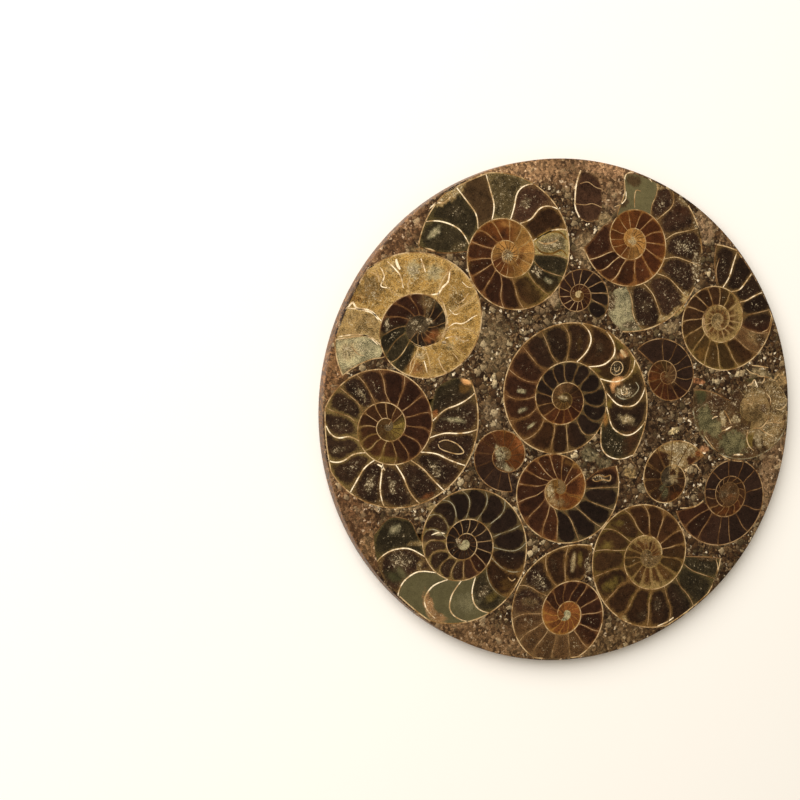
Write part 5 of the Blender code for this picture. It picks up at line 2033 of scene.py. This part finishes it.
    def add_lines(self, bm: bmesh.types.BMesh) -> None:
        """Add the whorl wall, the septa and the other lines.

        Args:
            bm: mesh that they are added to.
        """
        coil, shell = self.shell.coil, self.shell
        for start, end in self.stretches(shell.depth):
            self.add_whorl_wall(bm, start, end)
        edges = [septum for run in self.runs() for septum in run
                 if septum.width > 0.0 and septum.middle < shell.lined]
        for septum in edges:
            kept = coil.kept(septum.middle)
            count = max(FEWEST_STEPS, ceil(coil.width(septum.middle) / RIBBON_STEP))
            shares = [i / count for i in range(count + 1)]
            line = [coil.point(septum.degrees(v), v * kept) for v in shares]
            widths = [septum.width * (SEPTUM_ENDS + SEPTUM_BELLY * sin(pi * v)) for v in shares]
            ribbon(bm, line, widths, septum.tint.value)
        for stroke in shell.strokes:
            line = stroke.line()
            last = len(line) - 1
            widths = [stroke.width * (STROKE_ENDS + STROKE_BELLY * sin(pi * i / last))
                      for i in range(len(line))]
            ribbon(bm, line, widths, stroke.tint.value)

    def build(self) -> None:
        """Make the slice's two pieces in place of its solid."""
        shell = self.shell
        chance = random.Random(shell.node)
        bm = filling_mesh()
        for run in self.runs():
            for near, far in zip(run, run[1:]):
                self.fill_chamber(bm, near, far, chance)
        self.fill_core(bm)
        fill = link_piece(shell.node + "_fill", bm, self.filling)
        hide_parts(shell.node)
        bm = line_mesh()
        self.add_lines(bm)
        walls = link_piece(shell.node + "_shell", bm, self.wall)
        LOG.info("%s: %d septa", shell.node, len(self.septa))


@dataclass
class Fragment:
    """Broken piece of a shell with two arched septa.

    Attributes:
        outline: its edge.
        filling: material of its filling.
        wall: material of its lines.
        strokes: its edge wall and its septa.
        border: width of its lining, in mm.
        at_rim, within: place in the lining at its edge and inside its border.
    """

    outline: Sequence[Point]
    filling: bpy.types.Material
    wall: bpy.types.Material
    strokes: tuple[Stroke, ...] = (
        Stroke(((5.2, 71.6), (3.9, 68.0), (3.4, 64.0), (3.5, 60.5), (4.8, 57.6)), 0.4),
        Stroke(((5.0, 67.6), (7.5, 68.1), (10.0, 66.6), (12.3, 66.0)), 0.25, Tint.TAN),
        Stroke(((3.4, 61.6), (6.5, 61.3), (9.0, 61.7), (12.0, 60.6)), 0.25, Tint.TAN),
        Stroke(((4.8, 57.6), (7.6, 56.3), (11.0, 57.0)), 0.2, Tint.DIM))
    border: float = 0.8
    at_rim: float = 0.2
    within: float = 1.4

    def build(self) -> None:
        """Make the fragment in place of its solid."""
        bm = filling_mesh()
        disc = bmesh.ops.create_circle(bm, cap_ends=True, segments=len(self.outline), radius=1.0)
        for vert, place in zip(disc["verts"], counterclockwise(self.outline)):
            vert.co = metres(place, FILL_TOP)
        core = next(iter(bm.faces))
        rim = set(bm.verts)
        made = bmesh.ops.inset_individual(bm, faces=[core], thickness=self.border * MM)
        for vert in bm.verts:
            place = self.at_rim if vert in rim else self.within
            mark(bm, vert, Look.PURPLE.value, 1.0, (place, 0.0, 0.0))
        thicken(bm, [core, *made["faces"]], FILL_TOP - FILL_BOTTOM)
        piece = link_piece("ammonite_fragment_fill", bm, self.filling)
        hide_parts("ammonite_fragment")
        bm = line_mesh()
        for stroke in self.strokes:
            line = stroke.line()
            ribbon(bm, line, [stroke.width] * len(line), stroke.tint.value)
        walls = link_piece("ammonite_fragment_shell", bm, self.wall)


def ring(bm: bmesh.types.BMesh, points: Sequence[Point],
         height: float) -> list[bmesh.types.BMVert]:
    """New vertices at points of one height."""
    return [bm.verts.new(metres(p, height)) for p in points]


def circle(radius: float) -> list[Point]:
    """Points around the middle of the plate."""
    return [(radius * cos(2 * pi * i / RIM_SIDES), radius * sin(2 * pi * i / RIM_SIDES))
            for i in range(RIM_SIDES)]


def close(bm: bmesh.types.BMesh,
          verts: Sequence[bmesh.types.BMVert]) -> list[bmesh.types.BMEdge]:
    """New edges from each vertex of a ring to the next."""
    return [bm.edges.new((a, b)) for a, b in zip(verts, list(verts[1:]) + [verts[0]])]


def band(bm: bmesh.types.BMesh, upper: Sequence[bmesh.types.BMVert],
         lower: Sequence[bmesh.types.BMVert]) -> None:
    """New faces between two rings of vertices."""
    for i in range(len(upper)):
        bm.faces.new((upper[i - 1], upper[i], lower[i], lower[i - 1]))


@dataclass
class GritPlate:
    """The plate of crushed stone.

    Attributes:
        pockets: outlines of the pieces that are set in it.
        material: its material.
    """

    pockets: Sequence[Sequence[Point]]
    material: bpy.types.Material

    def rim_profile(self) -> list[Point]:
        """Section of the rim.

        Returns:
            Radii and heights, from the face down to the underside.
        """
        angles = [0.5 * pi * i / RIM_STEPS for i in range(1, RIM_STEPS + 1)]
        profile = [(DISC_RADIUS - RIM_EASE + RIM_EASE * sin(angle),
                    GRIT_TOP - RIM_EASE * (1.0 - cos(angle))) for angle in angles]
        profile += [(r, GRIT_TOP - z) for r, z in reversed(profile)]
        profile.append((DISC_RADIUS - RIM_EASE, 0.0))
        return profile

    def build(self) -> None:
        """Make the plate in place of its solid."""
        bm = bmesh.new()
        upper = ring(bm, circle(DISC_RADIUS - RIM_EASE), GRIT_TOP)
        edges = close(bm, upper)
        mouths = []
        for pocket in self.pockets:
            mouth = ring(bm, inset(pocket, POCKET_INSET), GRIT_TOP)
            edges += close(bm, mouth)
            mouths.append(mouth)
        bmesh.ops.triangle_fill(bm, use_beauty=True, edges=edges, normal=(0.0, 0.0, 1.0))
        for mouth in mouths:
            floor = [bm.verts.new(v.co - Vector((0.0, 0.0, POCKET_DEPTH * MM))) for v in mouth]
            band(bm, mouth, floor)
            bm.faces.new(floor)
        for radius, height in self.rim_profile():
            lower = ring(bm, circle(radius), height)
            band(bm, upper, lower)
            upper = lower
        bm.faces.new(upper)
        plate = link_piece("grit_plate_stone", bm, self.material, smooth=True)
        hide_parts("grit_plate")
        LOG.info("plate with %d pockets", len(self.pockets))


# --- stage -----------------------------------------------------------------------------------------
@dataclass(frozen=True)
class Studio:
    """Floor, light and camera.

    Attributes:
        lens, sensor: focal length and width of the camera's sensor, in mm.
        tilt, azimuth: the camera's direction, in degrees from straight above and from +X.
        distance: how far it is from what it aims at, in mm.
        aim: the point that it aims at, in mm.
        near: where its view begins, in m.
        room: strength of the room's light.
        room_tint: its colour.
        power: strength of the key light.
        key_tint: its colour.
        key_size, key_place: its width and place, in m.
        floor_half: half the floor's width, in m.
        floor_drop: how far the floor lies below the underside, in m.
        floor_tint: its colour.
        floor_gloss, floor_shine: its roughness and specular level.
    """

    lens: float = 103.5
    sensor: float = 36.0
    tilt: float = 18.8
    azimuth: float = 171.0
    distance: float = 670.0
    aim: tuple[float, float, float] = (-51.6, 4.0, 5.0)
    near: float = 0.01
    room: float = 0.4
    room_tint: Colour = (1.0, 0.93, 0.8)
    power: float = 14.5
    key_tint: Colour = (1.0, 0.99, 0.985)
    key_size: float = 1.1
    key_place: tuple[float, float, float] = (-0.55, 0.5, 0.75)
    floor_half: float = 3.0
    floor_drop: float = 0.0002
    floor_tint: Colour = srgb(253, 248, 239)
    floor_gloss: float = 0.85
    floor_shine: float = 0.1

    def floor(self) -> None:
        """Plain pale floor."""
        g = Graph("pale_floor")
        g.finish(self.floor_tint, self.floor_gloss, specular=self.floor_shine)
        bm = bmesh.new()
        bmesh.ops.create_grid(bm, x_segments=1, y_segments=1, size=self.floor_half)
        mesh = bpy.data.meshes.new("floor")
        bm.to_mesh(mesh)
        bm.free()
        mesh.materials.append(g.material)
        floor = bpy.data.objects.new("floor", mesh)
        floor.location.z = -self.floor_drop
        bpy.context.scene.collection.objects.link(floor)

    def lights(self) -> None:
        """Broad soft key light from the upper left, and a pale room."""
        scene = bpy.context.scene
        scene.view_settings.view_transform = "Standard"
        world = bpy.data.worlds.new("room")
        world.use_nodes = True
        background = world.node_tree.nodes["Background"]
        background.inputs["Color"].default_value = (*self.room_tint, 1.0)
        background.inputs["Strength"].default_value = self.room
        scene.world = world
        light = bpy.data.lights.new("key", "AREA")
        light.shape = "DISK"
        light.size = self.key_size
        light.energy = self.power
        light.color = self.key_tint
        key = bpy.data.objects.new("key", light)
        key.location = self.key_place
        key.rotation_euler = (-key.location).to_track_quat("-Z", "Y").to_euler()
        scene.collection.objects.link(key)

    def camera(self) -> None:
        """Camera at the viewing angle, looking down on the plate."""
        tilt, azimuth = radians(self.tilt), radians(self.azimuth)
        back = Vector((cos(azimuth) * sin(tilt), sin(azimuth) * sin(tilt), cos(tilt)))
        right = Vector((0.0, 1.0, 0.0)).cross(back).normalized()
        up = back.cross(right)
        data = bpy.data.cameras.new("camera")
        data.sensor_width = self.sensor
        data.lens = self.lens
        data.clip_start = self.near
        camera = bpy.data.objects.new("camera", data)
        place = (Vector(self.aim) + back * self.distance) * MM
        turn = Matrix((right, up, back)).transposed().to_4x4()
        camera.matrix_world = Matrix.Translation(place) @ turn
        bpy.context.scene.collection.objects.link(camera)
        bpy.context.scene.camera = camera

    def build(self) -> None:
        """Set the stage."""
        self.floor()
        self.lights()
        self.camera()


def main() -> None:
    """Build every piece, then the stage."""
    logging.basicConfig(level=logging.INFO, format="%(name)s: %(message)s")
    filling = CalciteFinish().build()
    wall = ShellFinish().build()
    slices = [Slice(shell, filling, wall) for shell in SHELLS]
    for piece in slices:
        piece.build()
    Fragment(FRAGMENT_OUTLINE, filling, wall).build()
    pockets = [piece.outline() for piece in slices] + [counterclockwise(FRAGMENT_OUTLINE)]
    GritPlate(pockets, GritFinish().build()).build()
    Studio().build()


if __name__ == "__main__":
    main()
